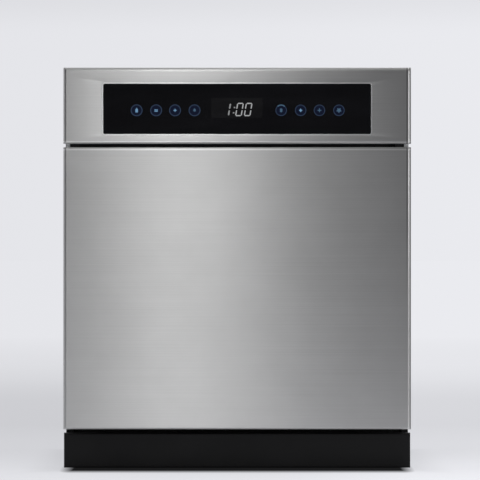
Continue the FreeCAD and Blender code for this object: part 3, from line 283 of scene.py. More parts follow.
def carried(radius, height, centre, axis, steps, wrap=False):
    """Circles round the axis through centre, with a row of radii and a height for each."""
    turn = full_turn(steps)
    circles = np.broadcast_arrays(radius * np.cos(turn), radius * np.sin(turn), height)
    points, faces = loft(np.stack(circles, axis=-1), wrap=wrap)
    return laid(points, ROUND[axis]) + np.asarray(centre, float), faces


def turned(profile, centre, axis="z", steps=40):
    """Surface of revolution: (radius, height) pairs carried round the axis through centre."""
    profile = np.asarray(profile, float)
    return carried(np.maximum(profile[:, :1], POINT), profile[:, 1:], centre, axis, steps)


def hoop(profile, centre, axis="z", steps=40):
    """A closed ring: a closed outline of (radius, height) pairs carried round the axis."""
    profile = np.asarray(profile, float)
    return carried(profile[:, :1], profile[:, 1:], centre, axis, steps, wrap=True)


def bent(corners, radius, steps=4):
    """A path through corners with each inner corner rounded by a blend of its two runs.

    The blend is the quadratic curve (1-t)^2 a + 2t(1-t) c + t^2 b, where c is the corner and
    a and b lie one bend radius from it on the two runs.
    """
    corners = np.asarray(corners, float)
    path = [corners[:1]]
    t = np.linspace(0, 1, steps + 1)[:, None]
    for before, corner, after in zip(corners, corners[1:], corners[2:]):
        a = corner + (before - corner) * radius / np.linalg.norm(before - corner)
        b = corner + (after - corner) * radius / np.linalg.norm(after - corner)
        path.append((1 - t) ** 2 * a + 2 * t * (1 - t) * corner + t ** 2 * b)
    path.append(corners[-1:])
    return np.concatenate(path)


def runs(path, wrap=False):
    """Unit direction at each point of a path, from the point before it to the one after it."""
    if wrap:
        run = np.roll(path, -1, axis=0) - np.roll(path, 1, axis=0)
    else:
        run = np.gradient(path, axis=0)
    return run / np.linalg.norm(run, axis=1)[:, None]


def wire(path, radius, across, sides=8, wrap=False, tip=True):
    """A round wire: a circle carried along a flat path, square to it.

    across is the direction square to the plane of the path. Ends are drawn in to a short cone.
    """
    path, across = np.asarray(path, float), np.asarray(across, float)
    run = runs(path, wrap)
    side = np.cross(run, across)
    side /= np.linalg.norm(side, axis=1)[:, None]
    if tip and not wrap:
        path = np.concatenate([path[:1], path[:1] + run[:1] * radius * 0.5, path[1:-1],
                               path[-1:] - run[-1:] * radius * 0.5, path[-1:]])
        side = np.concatenate([side[:1], side, side[-1:]])
    size = np.full(len(path), float(radius))
    if tip and not wrap:
        size[[0, -1]] = radius * 0.55
    turn = full_turn(sides)
    rings = path[:, None] + size[:, None, None] * (
        np.cos(turn)[None, :, None] * side[:, None] + np.sin(turn)[None, :, None] * across)
    return loft(rings, wrap=wrap)


def swept(path, outline, across):
    """An outline of (sideways, across) pairs carried along a flat path, square to it.

    Sideways is the path's direction crossed with across.
    """
    outline, across = np.asarray(outline, float), np.asarray(across, float)
    side = np.cross(runs(path), across)
    return loft(path[:, None] + outline[None, :, :1] * side[:, None]
                + outline[None, :, 1:] * across)


def ease(t):
    """Smooth step: 0 below 0, 1 above 1 and 3t^2 - 2t^3 between."""
    t = np.clip(t, 0, 1)
    return t * t * (3 - 2 * t)


def stations(low, high, pads, first, holes=(), steps=4):
    """Grid places along one axis: both ends, every hole's edge and every pad's sloping border."""
    places = [low, high]
    for hole in holes:
        places += [hole[first], hole[first + 1]]
    for pad in pads:
        slope = np.linspace(0, pad[5], steps + 1)
        places += [*(pad[first] + slope), *(pad[first + 1] - slope)]
    places = np.unique(np.round(places, 3))
    return places[(places >= low - 1e-6) & (places <= high + 1e-6)]


def relief(u, v, pads):
    """Height of a pressed sheet: each pad is its height times the smooth steps at its borders.

    A pad is (u0, u1, v0, v1, height, width of its sloping border).
    """
    height = np.zeros(np.broadcast(u, v).shape)
    for u0, u1, v0, v1, rise, slope in pads:
        height += (rise * ease((u - u0) / slope) * ease((u1 - u) / slope)
                   * ease((v - v0) / slope) * ease((v1 - v) / slope))
    return height


def open_cells(us, vs, holes):
    """Quads of the grid us by vs without those whose middle lies in a hole (u0, u1, v0, v1)."""
    quads = np.array(cells(len(vs), len(us), wrap_columns=False))
    mid_u, mid_v = np.meshgrid((us[1:] + us[:-1]) / 2, (vs[1:] + vs[:-1]) / 2)
    keep = np.ones(mid_u.shape, bool)
    for u0, u1, v0, v1 in holes:
        keep &= ~((mid_u > u0) & (mid_u < u1) & (mid_v > v0) & (mid_v < v1))
    return quads[keep.ravel()].tolist()


def pan(box, plane, face, out, radius=0.0, depth=0.0, pads=(), holes=(), steps=4):
    """A pressed steel sheet with rounded edges, pressed pads, open holes and folded walls.

    The sheet lies at depth face in its plane and looks towards out (+1 or -1). Near an edge it
    follows a quarter circle: its drop is the root of the squares of the two single drops.
    """
    u0, u1, v0, v1 = box

    def edged(low, high, first):
        inner = stations(low + radius, high - radius, pads, first, holes)
        near = low + radius * (1 - np.sin(quarter(steps)[::-1]))
        places = np.concatenate([near[:-1], inner, high - (near[:-1] - low)[::-1]])
        drop = radius - np.sqrt(np.maximum(radius ** 2 - np.maximum(
            radius - np.minimum(places - low, high - places), 0) ** 2, 0))
        return (places, drop) if radius > 0 else (inner, np.zeros(len(inner)))

    us, drop_u = edged(u0, u1, 0)
    vs, drop_v = edged(v0, v1, 2)
    grid_u, grid_v = np.meshgrid(us, vs)
    height = relief(grid_u, grid_v, pads) - np.hypot(*np.meshgrid(drop_u, drop_v))
    points = np.stack([grid_u, grid_v, face + out * height], axis=-1).reshape(-1, 3)
    faces = open_cells(us, vs, holes)
    if depth > radius:
        rim = rim_of(len(vs), len(us))
        faces += skirt(rim, len(points) + np.arange(len(rim)))
        points = np.concatenate([points, raised(points[rim, :2], face - out * depth)])
    return laid(points, plane), faces


def lattice(box, plane, face, columns, rows, bar, rim):
    """A plate with rows and columns of windows between bars, inside a plain rim."""
    u0, u1, v0, v1 = box

    def bars(low, high, count):
        pitch = (high - low - 2 * rim + bar) / count
        starts = low + rim + pitch * np.arange(count)
        return np.unique(np.concatenate([[low, high], starts, starts + pitch - bar]))

    us, vs = bars(u0, u1, columns), bars(v0, v1, rows)
    quads = np.array(cells(len(vs), len(us), wrap_columns=False))
    j, i = np.divmod(np.arange(len(quads)), len(us) - 1)
    quads = quads[~((i % 2 == 1) & (j % 2 == 1))].tolist()
    grid_u, grid_v = np.meshgrid(us, vs)
    points = np.stack([grid_u, grid_v, np.full(grid_u.shape, float(face))], axis=-1)
    return laid(points.reshape(-1, 3), plane), quads


def lobed(rows, centre, axis="z", lobes=6, steps=36):
    """A surface of revolution whose rows are (radius, height, share of swell).

    The radius at an angle is radius * (1 + swell * cos(lobes * angle)).
    """
    rows = np.asarray(rows, float)
    radius = np.maximum(rows[:, :1], POINT) * (1 + rows[:, 2:] * np.cos(lobes * full_turn(steps)))
    return carried(radius, rows[:, 1:2], centre, axis, steps)


def helix(start, length, radius, thick, turns, sides=6):
    """A coil along +y: a circle of the wire's radius carried along a helix."""
    t = np.linspace(0, turns * 2 * math.pi, turns * 14 + 1)
    radial = np.stack([np.cos(t), np.zeros(len(t)), np.sin(t)], axis=-1)
    rise = length / t[-1]
    path = radius * radial + np.stack([np.zeros(len(t)), rise * t, np.zeros(len(t))], axis=-1)
    run = np.stack([-radius * np.sin(t), np.full(len(t), rise), radius * np.cos(t)], axis=-1)
    run /= np.linalg.norm(run, axis=1)[:, None]
    side = np.cross(run, radial)
    angle = full_turn(sides)
    rings = path[:, None] + thick * (np.cos(angle)[None, :, None] * radial[:, None]
                                     + np.sin(angle)[None, :, None] * side[:, None])
    return loft(rings + np.asarray(start, float))


def upright(x, y, z0, z1, radius):
    """A straight upright wire with a domed tip."""
    rise = radius * np.array([0.0, 0.5, 0.87, 1.0])
    rows = [(radius, z0), *((radius * math.cos(math.asin(r / radius)), z1 - radius + r)
                            for r in rise)]
    return turned(rows, (x, y, 0), "z", 8)


# Pieces

# Angles in degrees above which an edge stays sharp
CREASE = 38.0
FOLD_CREASE = 48.0


def shown(name, mesh, finish):
    """An object at the origin for a mesh, shaded smooth and with one finish."""
    mesh.polygons.foreach_set("use_smooth", np.ones(len(mesh.polygons), bool))
    mesh.materials.clear()
    mesh.materials.append(finishes()[finish])
    piece = bpy.data.objects.new(name, mesh)
    bpy.context.scene.collection.objects.link(piece)
    return piece


def put(name, shape, body, finish, replaces=(), crease=CREASE, outward=None):
    """Makes one piece from a shape in millimetres and gives it its body, finish and slot.

    Doubled points are merged and the faces turned outwards, so seams and poles are closed.
    An open sheet says with outward which way it looks.
    """
    points, faces = shape
    mesh = bpy.data.meshes.new(name)
    mesh.from_pydata((np.asarray(points) * MM).tolist(), [], faces)
    work = bmesh.new()
    work.from_mesh(mesh)
    bmesh.ops.remove_doubles(work, verts=work.verts, dist=2e-7)
    bmesh.ops.dissolve_degenerate(work, edges=work.edges, dist=1e-8)
    loose = [vertex for vertex in work.verts if not vertex.link_faces]
    bmesh.ops.delete(work, geom=loose, context="VERTS")
    bmesh.ops.recalc_face_normals(work, faces=work.faces)
    if outward is not None:
        if sum(face.calc_area() * face.normal.dot(outward) for face in work.faces) < 0:
            bmesh.ops.reverse_faces(work, faces=work.faces)
    work.to_mesh(mesh)
    work.free()
    piece = shown(name, mesh, finish)
    mesh.set_sharp_from_angle(angle=math.radians(crease))
    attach(piece, body)
    if replaces:
        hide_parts(*replaces)
    return evened(piece)


def evened(piece):
    """Shades wide flat faces flat and leaves the curve to the small faces between them."""
    even = piece.modifiers.new("even", "WEIGHTED_NORMAL")
    even.weight = 80
    even.keep_sharp = True
    return piece


def rounded(piece, width, segments):
    """Bevels the piece's sharp edges by a width in millimetres."""
    bevel = piece.modifiers.new("edges", "BEVEL")
    bevel.width = width * MM
    bevel.segments = segments
    bevel.limit_method = "ANGLE"
    bevel.angle_limit = math.radians(35.0)
    bevel.harden_normals = True
    return piece


def sheeted(piece, thickness, offset=-1.0):
    """Gives an open sheet its thickness in millimetres, on its inner side."""
    piece.modifiers.clear()
    solid = piece.modifiers.new("sheet", "SOLIDIFY")
    solid.thickness = thickness * MM
    solid.offset = offset
    return evened(piece)


def softened(node, finish, width, segments=2):
    """A CAD node's own form with its loose triangles merged and its edges rounded."""
    mesh = frame["nodes"][node].data.copy()
    mesh.transform(frame["nodes"][node].matrix_world)
    mesh.name = "soft_" + node
    work = bmesh.new()
    work.from_mesh(mesh)
    bmesh.ops.remove_doubles(work, verts=work.verts, dist=2e-6)
    bmesh.ops.dissolve_limit(work, angle_limit=math.radians(1.0), verts=work.verts,
                             edges=work.edges)
    work.to_mesh(mesh)
    work.free()
    piece = shown("soft_" + node, mesh, finish)
    mesh.set_sharp_from_angle(angle=math.radians(CREASE))
    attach(piece, HOME[node])
    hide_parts(node)
    return rounded(piece, width, segments)


# Finishes


def shader(name, **sockets):
    """A new material whose plain numbers are set on the Principled shader itself."""
    material = bpy.data.materials.new(name)
    material.use_nodes = True
    principled = material.node_tree.nodes["Principled BSDF"]
    for socket, value in sockets.items():
        principled.inputs[socket.replace("_", " ")].default_value = value
    return material, material.node_tree, principled


def feed(tree, node, inputs):
    """Gives a node its inputs: an output of another node is linked and all else is set."""
    for key, value in inputs.items():
        if isinstance(value, bpy.types.NodeSocket):
            tree.links.new(value, node.inputs[key])
        else:
            node.inputs[key].default_value = value


def node_in(tree, kind, inputs=None, **settings):
    """Adds a node with its settings and inputs."""
    node = tree.nodes.new(kind)
    for key, value in settings.items():
        setattr(node, key, value)
    feed(tree, node, inputs or {})
    return node


def own_place(tree):
    """Object coordinates, which a piece keeps when its joint moves."""
    return node_in(tree, "ShaderNodeTexCoord").outputs["Object"]


def axes(tree, place):
    """The three coordinates of a place."""
    return node_in(tree, "ShaderNodeSeparateXYZ", {"Vector": place}).outputs


def combined(tree, kind, first, second=0.0):
    """One step of arithmetic on outputs or plain numbers."""
    return node_in(tree, "ShaderNodeMath", {0: first, 1: second}, operation=kind).outputs["Value"]


def mixed(tree, kind, share, first, second):
    """Blends two colours by a share."""
    return node_in(tree, "ShaderNodeMix", {"Factor": share, "A": first, "B": second},
                   data_type="RGBA", blend_type=kind).outputs["Result"]


def length_of(tree, vector):
    """Length of a vector."""
    return node_in(tree, "ShaderNodeVectorMath", {0: vector}, operation="LENGTH").outputs["Value"]


def pattern(tree, stretch, detail=3.0, rough=0.55, warp=0.0):
    """Noise on Object coordinates, stretched by a factor per axis."""
    place = node_in(tree, "ShaderNodeMapping", {"Vector": own_place(tree), "Scale": stretch})
    return node_in(tree, "ShaderNodeTexNoise", {
        "Vector": place.outputs["Vector"], "Scale": 1.0, "Detail": detail, "Roughness": rough,
        "Distortion": warp}).outputs["Fac"]


def crystal(tree, scale, randomness):
    """Cells of a Voronoi pattern on Object coordinates."""
    return node_in(tree, "ShaderNodeTexVoronoi", {
        "Vector": own_place(tree), "Scale": scale, "Randomness": randomness}).outputs


SMOOTH = "SMOOTHSTEP"


def spread(tree, value, low, high, start=0.3, end=0.7, step="LINEAR"):
    """Maps a value between start and end onto low to high, straight or as a SMOOTH step."""
    return node_in(tree, "ShaderNodeMapRange", {
        "Value": value, "From Min": start, "From Max": end, "To Min": low, "To Max": high},
        interpolation_type=step).outputs["Result"]


def shade(tree, value, dark, light, start=0.3, end=0.7):
    """Mixes two colours by a pattern's value."""
    ramp = node_in(tree, "ShaderNodeValToRGB", {"Fac": value})
    for element, place, colour in zip(ramp.color_ramp.elements, (start, end), (dark, light)):
        element.position = place
        element.color = (*colour, 1)
    return ramp.outputs["Color"]


def toned(tree, value, stops):
    """Greys over a value, as pairs of a place from 0 to 1 and a tone, straight between them."""
    ramp = node_in(tree, "ShaderNodeValToRGB", {"Fac": value})
    elements = ramp.color_ramp.elements
    elements[1].position = stops[-1][0]
    for place, tone in stops[1:-1]:
        elements.new(place)
    for element, (place, tone) in zip(elements, stops):
        element.color = (tone, tone, tone, 1)
    return ramp.outputs["Color"]


def bumped(tree, principled, value, strength, distance):
    """Raises the surface by a pattern, distance in millimetres."""
    bump = node_in(tree, "ShaderNodeBump",
                   {"Strength": strength, "Distance": distance * MM, "Height": value})
    feed(tree, principled, {"Normal": bump.outputs["Normal"]})


def scaled(colour, by):
    """A colour made lighter or darker by a factor."""
    return tuple(min(max(c * by, 0.0), 1.0) for c in colour)


# Painted highlight and painted shade on the right upright fold only: a bright line with darker
# lines beside it, above and below, as pairs of a place across in millimetres and a share of the
# steel's tone, with the heights in metres between which one becomes the other
PAINTED_FOLD_HIGH = ((288.6, 1.0), (289.6, 1.13), (290.4, 0.80), (291.6, 0.66), (293.2, 0.55),
             (293.7, 1.60), (295.0, 1.60), (296.0, 0.92), (297.4, 0.68), (299.0, 0.60))
PAINTED_FOLD_LOW = ((292.0, 1.0), (293.7, 1.15), (295.2, 1.05), (296.2, 0.80), (299.0, 0.56))
PAINTED_FOLD_TOP = 1.6
PAINTED_FOLD_CHANGE = (0.30, 0.46)
# Painted highlight along a level fold: a bright line over the share of the way from the edge to
# beyond it, and the lift that it adds to the steel's tone
PAINTED_LINE_TONES = ((0.0, 0), (0.38, 0), (0.44, 1), (0.58, 1), (0.66, 0))
PAINTED_LINE_LIFT = (0.26, 0.26, 0.26, 1)


def painted_fold_tones(tree, across, places):
    """Painted highlight and shade of the upright fold: share of the steel's tone by the place
    across, straight from one pair to the next.
    """
    first, last = places[0][0], places[-1][0]
    stops = [((place - first) / (last - first), share / PAINTED_FOLD_TOP) for place, share in places]
    return toned(tree, spread(tree, across, 0.0, 1.0, first * MM, last * MM), stops)


def brushed(name, colour):
    """Steel brushed level: fine lines, a faint cloudy mottle and a tall soft streak of light.

    The lines are noise drawn out along x. The roughness is far larger up and down than along
    the lines, and the piece's own map gives the direction. The piece's fold attribute places
    a painted highlight line along a level fold, and the right upright fold gets a painted
    highlight with painted shade lines beside it.
    """
    material, tree, steel = shader(name, Metallic=1.0, Anisotropic=0.88)
    lines = pattern(tree, (3.0, 260.0, 1500.0), detail=4.0, rough=0.62)
    cloud = pattern(tree, (9.0, 9.0, 9.0), rough=0.6)
    mottled = mixed(tree, "MULTIPLY", 1.0,
                    shade(tree, lines, scaled(colour, 0.93), scaled(colour, 1.05)),
                    shade(tree, cloud, (0.955, 0.955, 0.955), (1.03, 1.03, 1.03), 0.25, 0.75))
    # painted highlight line along the level folds, placed by the fold attribute
    fold = node_in(tree, "ShaderNodeAttribute", attribute_name="fold").outputs["Fac"]
    highlighted = mixed(tree, "ADD", toned(tree, fold, PAINTED_LINE_TONES), mottled, PAINTED_LINE_LIFT)
    x, y, z = axes(tree, own_place(tree))
    # painted highlight and painted shade on the right upright fold, by place across and height
    painted_upright_light = mixed(tree, "MIX", spread(tree, z, 0.0, 1.0, *PAINTED_FOLD_CHANGE),
                         painted_fold_tones(tree, x, PAINTED_FOLD_LOW), painted_fold_tones(tree, x, PAINTED_FOLD_HIGH))
    folded = node_in(tree, "ShaderNodeVectorMath", {0: highlighted, 1: painted_upright_light},
                     operation="MULTIPLY").outputs["Vector"]
    restored = node_in(tree, "ShaderNodeVectorMath", {0: folded, "Scale": PAINTED_FOLD_TOP},
                       operation="SCALE").outputs["Vector"]
    tangent = node_in(tree, "ShaderNodeTangent", direction_type="UV_MAP", uv_map="brush")
    feed(tree, steel, {"Base Color": restored, "Roughness": spread(tree, lines, 0.35, 0.42),
                       "Tangent": tangent.outputs["Tangent"]})
    bumped(tree, steel, lines, 0.12, 0.02)
    return material


def plain_metal(name, colour, rough, stretch, depth, strength, lift):
    """Rolled or plated metal: drawn-out grain in tone, roughness and height."""
    material, tree, metal = shader(name, Metallic=1.0)
    grain = pattern(tree, stretch, detail=4.0)
    feed(tree, metal, {
        "Base Color": shade(tree, grain, scaled(colour, 1 - lift), scaled(colour, 1 + lift)),
        "Roughness": spread(tree, grain, *rough)})
    bumped(tree, metal, grain, strength, depth)
    return material


def galvanised(colour):
    """Zinc coat: flat crystals of slightly different tone, each a cell of a Voronoi pattern."""
    material, tree, zinc = shader("Galvanised sheet", Metallic=1.0)
    grey = node_in(tree, "ShaderNodeSeparateColor", {"Color": crystal(tree, 130.0, 1.0)["Color"]})
    tone = combined(tree, "ADD", spread(tree, grey.outputs["Red"], -0.16, 0.16, 0, 1),
                    pattern(tree, (5.0, 5.0, 5.0), detail=4.0))
    feed(tree, zinc, {
        "Base Color": shade(tree, tone, scaled(colour, 0.88), scaled(colour, 1.08), 0.2, 0.8),
        "Roughness": spread(tree, tone, 0.40, 0.50, 0.2, 0.8)})
    bumped(tree, zinc, pattern(tree, (420.0, 420.0, 420.0)), 0.10, 0.03)
    return material


def moulded(name, colour, rough=(0.42, 0.56), grain=1500.0, depth=0.05, strength=0.35, lift=0.10,
            **sockets):
    """Moulded plastic: a fine spark-eroded grain in height, faint clouds in tone and gloss."""
    material, tree, plastic = shader(name, **sockets)
    cloud = pattern(tree, (14.0, 14.0, 14.0))
    feed(tree, plastic, {
        "Base Color": shade(tree, cloud, scaled(colour, 1 - lift), scaled(colour, 1 + lift)),
        "Roughness": spread(tree, cloud, *rough)})
    bumped(tree, plastic, pattern(tree, (grain, grain, grain), detail=2.0), strength, depth)
    return material


def lit(name, colour):
    """A printed mark lit from behind the glass, a little uneven like a light guide."""
    material, tree, mark = shader(name, Roughness=0.35, Specular_IOR_Level=0.1,
                                  Base_Color=(*scaled(colour, 0.2), 1), Emission_Strength=1.0)
    cloud = pattern(tree, (330.0, 330.0, 330.0), detail=2.0)
    feed(tree, mark, {
        "Emission Color": shade(tree, cloud, scaled(colour, 0.80), scaled(colour, 1.15))})
    return material


def gloss_glass(name, colour):
    """Tinted glass printed black on its back: deep gloss with faint wiping marks."""
    material, tree, glass = shader(name, IOR=1.45)
    smear = pattern(tree, (6.0, 6.0, 30.0), detail=4.0, warp=0.4)
    feed(tree, glass, {"Base Color": shade(tree, smear, scaled(colour, 0.8), scaled(colour, 1.3)),
                       "Roughness": spread(tree, smear, 0.04, 0.09)})
    return material


def perforated(name, colour):
    """Fine pierced steel: a close pattern of small round holes, sunk, and painted nearly black as
    the shade inside them.
    """
    material, tree, steel = shader(name, Metallic=0.9, Roughness=0.35)
    hole = crystal(tree, 520.0, 0.0)["Distance"]
    feed(tree, steel, {"Base Color": shade(tree, hole, (0.01, 0.01, 0.01), colour, 0.30, 0.42)})
    bumped(tree, steel, spread(tree, hole, 0, 1, 0.30, 0.42), 0.6, 0.3)
    return material


FINISHES = {}


def finishes():
    """The finishes by material slot, made once, from the settings' colours."""
    if FINISHES:
        return FINISHES
    front = bpy.context.scene.dishwasher_front
    FINISHES.update({
        "front_steel": brushed("Level brushed steel", tuple(front.steel)),
        "tub_steel": plain_metal("Tub steel", (0.64, 0.65, 0.66), (0.292, 0.306),
                                 (60.0, 60.0, 9.0), depth=0.01, strength=0.06, lift=0.04),
        "zinc_steel": galvanised((0.55, 0.56, 0.57)),
        "black_glass": gloss_glass("Control glass", tuple(front.glass)),
        "bezel_metal": brushed("Bright rim", (0.90, 0.90, 0.895)),
        "black_plastic": moulded("Black moulding", (0.0052, 0.0052, 0.0056),
                                 Specular_IOR_Level=0.20),
        "grey_plastic": moulded("Grey moulding", (0.16, 0.165, 0.17), (0.36, 0.46)),
        "light_plastic": moulded("Light moulding", (0.50, 0.51, 0.52), (0.36, 0.46)),
        "coated_wire": moulded("Nylon coat", (0.30, 0.315, 0.33), (0.28, 0.38), grain=700.0,
                               depth=0.04, strength=0.25, Coat_Weight=0.15,
                               Coat_Roughness=0.25),
        "seal_rubber": moulded("Door seal", (0.016, 0.016, 0.016), (0.55, 0.70), grain=2200.0,
                               depth=0.04),
        "circuit": moulded("Circuit board", (0.02, 0.10, 0.045), (0.30, 0.40), grain=260.0,
                           depth=0.2, lift=0.45),
        "filter_mesh": perforated("Filter mesh", (0.55, 0.56, 0.57)),
        "felt": moulded("Damping felt", (0.035, 0.034, 0.033), (0.85, 0.98), grain=420.0,
                        depth=0.5, strength=0.9, lift=0.35),
        "ring_light": lit("Ring light", tuple(front.ring_light)),
        "glyph_light": lit("Glyph light", tuple(front.glyph_light)),
        "glyph_dim": lit("Dim glyph light", scaled(tuple(front.glyph_light), 0.38)),
        "key_navy": lit("Key ground", (0.0030, 0.0052, 0.0175)),
        "digit_light": lit("Digit light", tuple(front.digit_light)),
        "digit_dim": lit("Dim digit light", scaled(tuple(front.digit_light), 0.62)),
        "display_ground": gloss_glass("Display ground", (0.0070, 0.0070, 0.0075)),
    })
    return FINISHES


# Steel front


# Painted highlight lines along the level folds, in millimetres from the bottom and top edge,
# 0 for none, and the lean of the console's brushing
DOOR_HIGHLIGHTS = (0, 4.3)
CONSOLE_HIGHLIGHTS = (3.7, 0)
CONSOLE_LEAN = 0.05
# Inward return behind a folded front: insets, each with its distance before the sheet's back
RETURN = ((0.0, 1.0), (0.6, 0.3), (1.5, 0.0), (9.0, 0.0))
WINDOW_CORNER = 5.6


def folded_front(low, high, side, top, bottom, lines, hole=None, steps=6):
    """A steel front folded back on all four sides, with an optional rounded window.

    The face is a grid of x and z places. Near an edge the sheet follows a quarter circle, and
    y is the front plane plus the root of the squares of the two drops, across and upright.
    Its walls run straight back and end in a short inward return. The painted highlight line of
    each level fold lies at its distance in lines, (bottom, top), or is left out where that is 0.
    Returns the shape and, for each point, the brush map (its run up the face and across it)
    and its share of the way from the edge to twice the line's distance, which places that
    painted highlight.
    """
    turn = quarter(steps)

    def edge(start, end, r0, r1):
        near = start + r0 * (1 - np.sin(turn[::-1]))
        far = end - r1 * (1 - np.sin(turn))
        drop = np.concatenate([r0 * (1 - np.cos(turn[::-1])), r1 * (1 - np.cos(turn))])
        run = np.concatenate([start + r0 * (1 - turn[::-1]), end - r1 * (1 - turn)])
        return np.concatenate([near, far]), drop, run

    xs, drop_x, run_x = edge(low[0], high[0], side, side)
    zs, drop_z, run_z = edge(low[2], high[2], bottom, top)
    beyond = [low[2] + (2 * lines[0] or 2 * bottom), high[2] - (2 * lines[1] or 2 * top)]
    zs, run_z = (np.insert(row, steps + 1, beyond) for row in (zs, run_z))
    drop_z = np.insert(drop_z, steps + 1, (0, 0))
    shares = np.ones(len(zs))
    for distance, line in ((zs - low[2], lines[0]), (high[2] - zs, lines[1])):
        if line:
            shares = np.minimum(shares, distance / (2 * line))
    grid_x, grid_z = np.meshgrid(xs, zs)
    grid_y = low[1] + np.hypot(*np.meshgrid(drop_x, drop_z))
    points = np.stack([grid_x, grid_y, grid_z], axis=-1).reshape(-1, 3)
    brush = np.stack(np.meshgrid(run_x, run_z)[::-1], axis=-1).reshape(-1, 2)
    count = len(xs)
    shares = np.repeat(shares, count)
    faces = cells(len(zs), count, wrap_columns=False)
    if hole is not None:
        del faces[(steps + 1) * (count - 1) + steps]
        around = ring_of(*hole, WINDOW_CORNER, steps)
        start, part = len(points), len(around) // 4
        points = np.concatenate([points, laid(raised(around, low[1]), "front")])
        brush = np.concatenate([brush, around[:, ::-1]])
        shares = np.concatenate([shares, np.ones(len(around))])
        below = (steps + 1) * count + steps
        corner = [below + count + 1, below + count, below, below + 1]
        for k in range(4):
            arc = [start + k * part + i for i in range(part)]
            following = start + ((k + 1) % 4) * part
            faces += [[corner[k], b, a] for a, b in zip(arc, arc[1:])]
            faces.append([corner[k], corner[(k + 1) % 4], following, arc[-1]])
    rim = rim_of(len(zs), count)
    for inset, before in RETURN:
        wall = points[rim].copy()
        back = np.abs(high[1] - wall[:, 1])[:, None]
        outward = np.sign(wall[:, [2, 0]] - ((low + high) / 2)[[2, 0]])
        wall[:, 0] = np.clip(wall[:, 0], low[0] + inset, high[0] - inset)
        wall[:, 2] = np.clip(wall[:, 2], low[2] + inset, high[2] - inset)
        wall[:, 1] = high[1] - before
        fresh = len(points) + np.arange(len(rim))
        points = np.concatenate([points, wall])
        brush = np.concatenate([brush, brush[rim] + outward * back])
        shares = np.concatenate([shares, np.zeros(len(rim))])
        faces += skirt(rim, fresh)
        rim = fresh
    return (points, faces), brush, shares


def add_brush(piece, brush):
    """Stores the run up the face and across it as the piece's own map, in metres."""
    mesh = piece.data
    layer = mesh.uv_layers.new(name="brush")
    corners = np.empty(len(mesh.loops), int)
    mesh.loops.foreach_get("vertex_index", corners)
    layer.data.foreach_set("uv", (brush[corners] * MM).ravel())


def steel_front(name, node, side, top, bottom, lines, hole=None, lean=0.0):
    """One folded steel front in place of its CAD node, 0.9 mm thick, with its brush map.

    lean tilts the brushing: how far its upright moves across for each unit of height.
    """
    low, high = span(node)
    (points, faces), brush, shares = folded_front(low, high, side, top, bottom, lines, hole)
    brush[:, 1] -= lean * (brush[:, 0] - low[2])
    mesh = bpy.data.meshes.new(name)
    mesh.from_pydata((points * MM).tolist(), [], faces)
    piece = shown(name, mesh, "front_steel")
    add_brush(piece, brush)
    # the fold attribute places the painted highlight line of each level fold
    mesh.attributes.new("fold", "FLOAT", "POINT").data.foreach_set("value", shares)
    work = bmesh.new()
    work.from_mesh(mesh)
    bmesh.ops.recalc_face_normals(work, faces=work.faces)
    if max(work.faces, key=lambda face: face.calc_area()).normal.y > 0:
        bmesh.ops.reverse_faces(work, faces=work.faces)
    work.to_mesh(mesh)
    work.free()
    mesh.set_sharp_from_angle(angle=math.radians(FOLD_CREASE))
    sheeted(piece, 0.9)
    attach(piece, "door")
    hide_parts(node)
    return piece


class DISHWASHER_OT_door_panel(Operator):
    """Builds the plain steel door panel with its folded edges"""

    bl_idname = "dishwasher.door_panel"
    bl_label = "Door panel"

    def execute(self, context):
        front = context.scene.dishwasher_front
        level = front.edge_round / MM
        steel_front("steel_door", "door_panel", front.side_round / MM, level, level,
                    DOOR_HIGHLIGHTS)
        return {"FINISHED"}


class DISHWASHER_OT_console(Operator):
    """Builds the steel console with its window, metal rim and black glass"""

    bl_idname = "dishwasher.console"
    bl_label = "Console"

    def execute(self, context):
        front = context.scene.dishwasher_front
        rim = front.bezel / MM
        (x0, _, z0), (x1, _, z1) = span("control_glass")
        hole = (x0 - rim, x1 + rim, z0 - rim, z1 + rim)
        steel_front("steel_console", "console_fascia", front.side_round / MM,
                    front.top_round / MM, front.edge_round / MM, CONSOLE_HIGHLIGHTS, hole,
                    CONSOLE_LEAN)
        plane = span("console_fascia")[0][1]
        rings = [(0.15, plane + 3.4, 5.4), (0.15, plane + 0.25, 5.4), (0.22, plane + 0.08, 5.3),
                 (0.40, plane, 5.1), (2.05, plane, 3.6), (2.25, plane + 0.08, 3.4),
                 (2.36, plane + 0.25, 3.3), (2.42, plane + 3.4, 3.2)]
        bezel = put("glass_rim", pressing(hole, rings + rings[:1], (False, False)), "door",
                    "bezel_metal", ("glass_bezel",), crease=60)
        places = np.empty(3 * len(bezel.data.vertices))
        bezel.data.vertices.foreach_get("co", places)
        add_brush(bezel, places.reshape(-1, 3)[:, [2, 0]] / MM)
        # Both ends of the gap under the console: the housing, then the zinc edge of a lever
        shoulder = soft_block((272, -280.3, 555.8), (287, -275.8, 561.2), 0.5)
        put("housing_shoulders", both(shoulder), "door", "black_plastic", ("console_housing",))
        clip = soft_block((287.4, -280.3, 555.8), (294.8, -275.8, 561.2), 0.4)
        put("corner_clips", both(clip), "door", "zinc_steel", ("hinge_arms",))
        face = plane + 0.5
        sheet = [(0.0, plane + 3.4, 3.1), (0.0, face + 0.45, 3.1), (0.12, face + 0.15, 3.0),
                 (0.45, face, 2.7)]
        put("control_window", pressing((x0, x1, z0, z1), sheet, (True, True)), "door",
            "black_glass", ("control_glass",), crease=30)
        return {"FINISHED"}


# Lit marks on the glass. Each is a layer that stands PRINT in front of its plane and reaches
# PRINT_SUNK behind it. A mark inside a ring stands on the ring's ground, MARK_LIFT farther out.
PRINT = 0.12
PRINT_SUNK = 0.02
MARK_LIFT = 0.13


def plate(outline, face):
    """A flat outline of (x, z) pairs as a thin printed layer on the plane y = face."""
    layers = [laid(raised(outline, y), "front") for y in (face + PRINT_SUNK, face - PRINT)]
    return loft(np.array(layers))


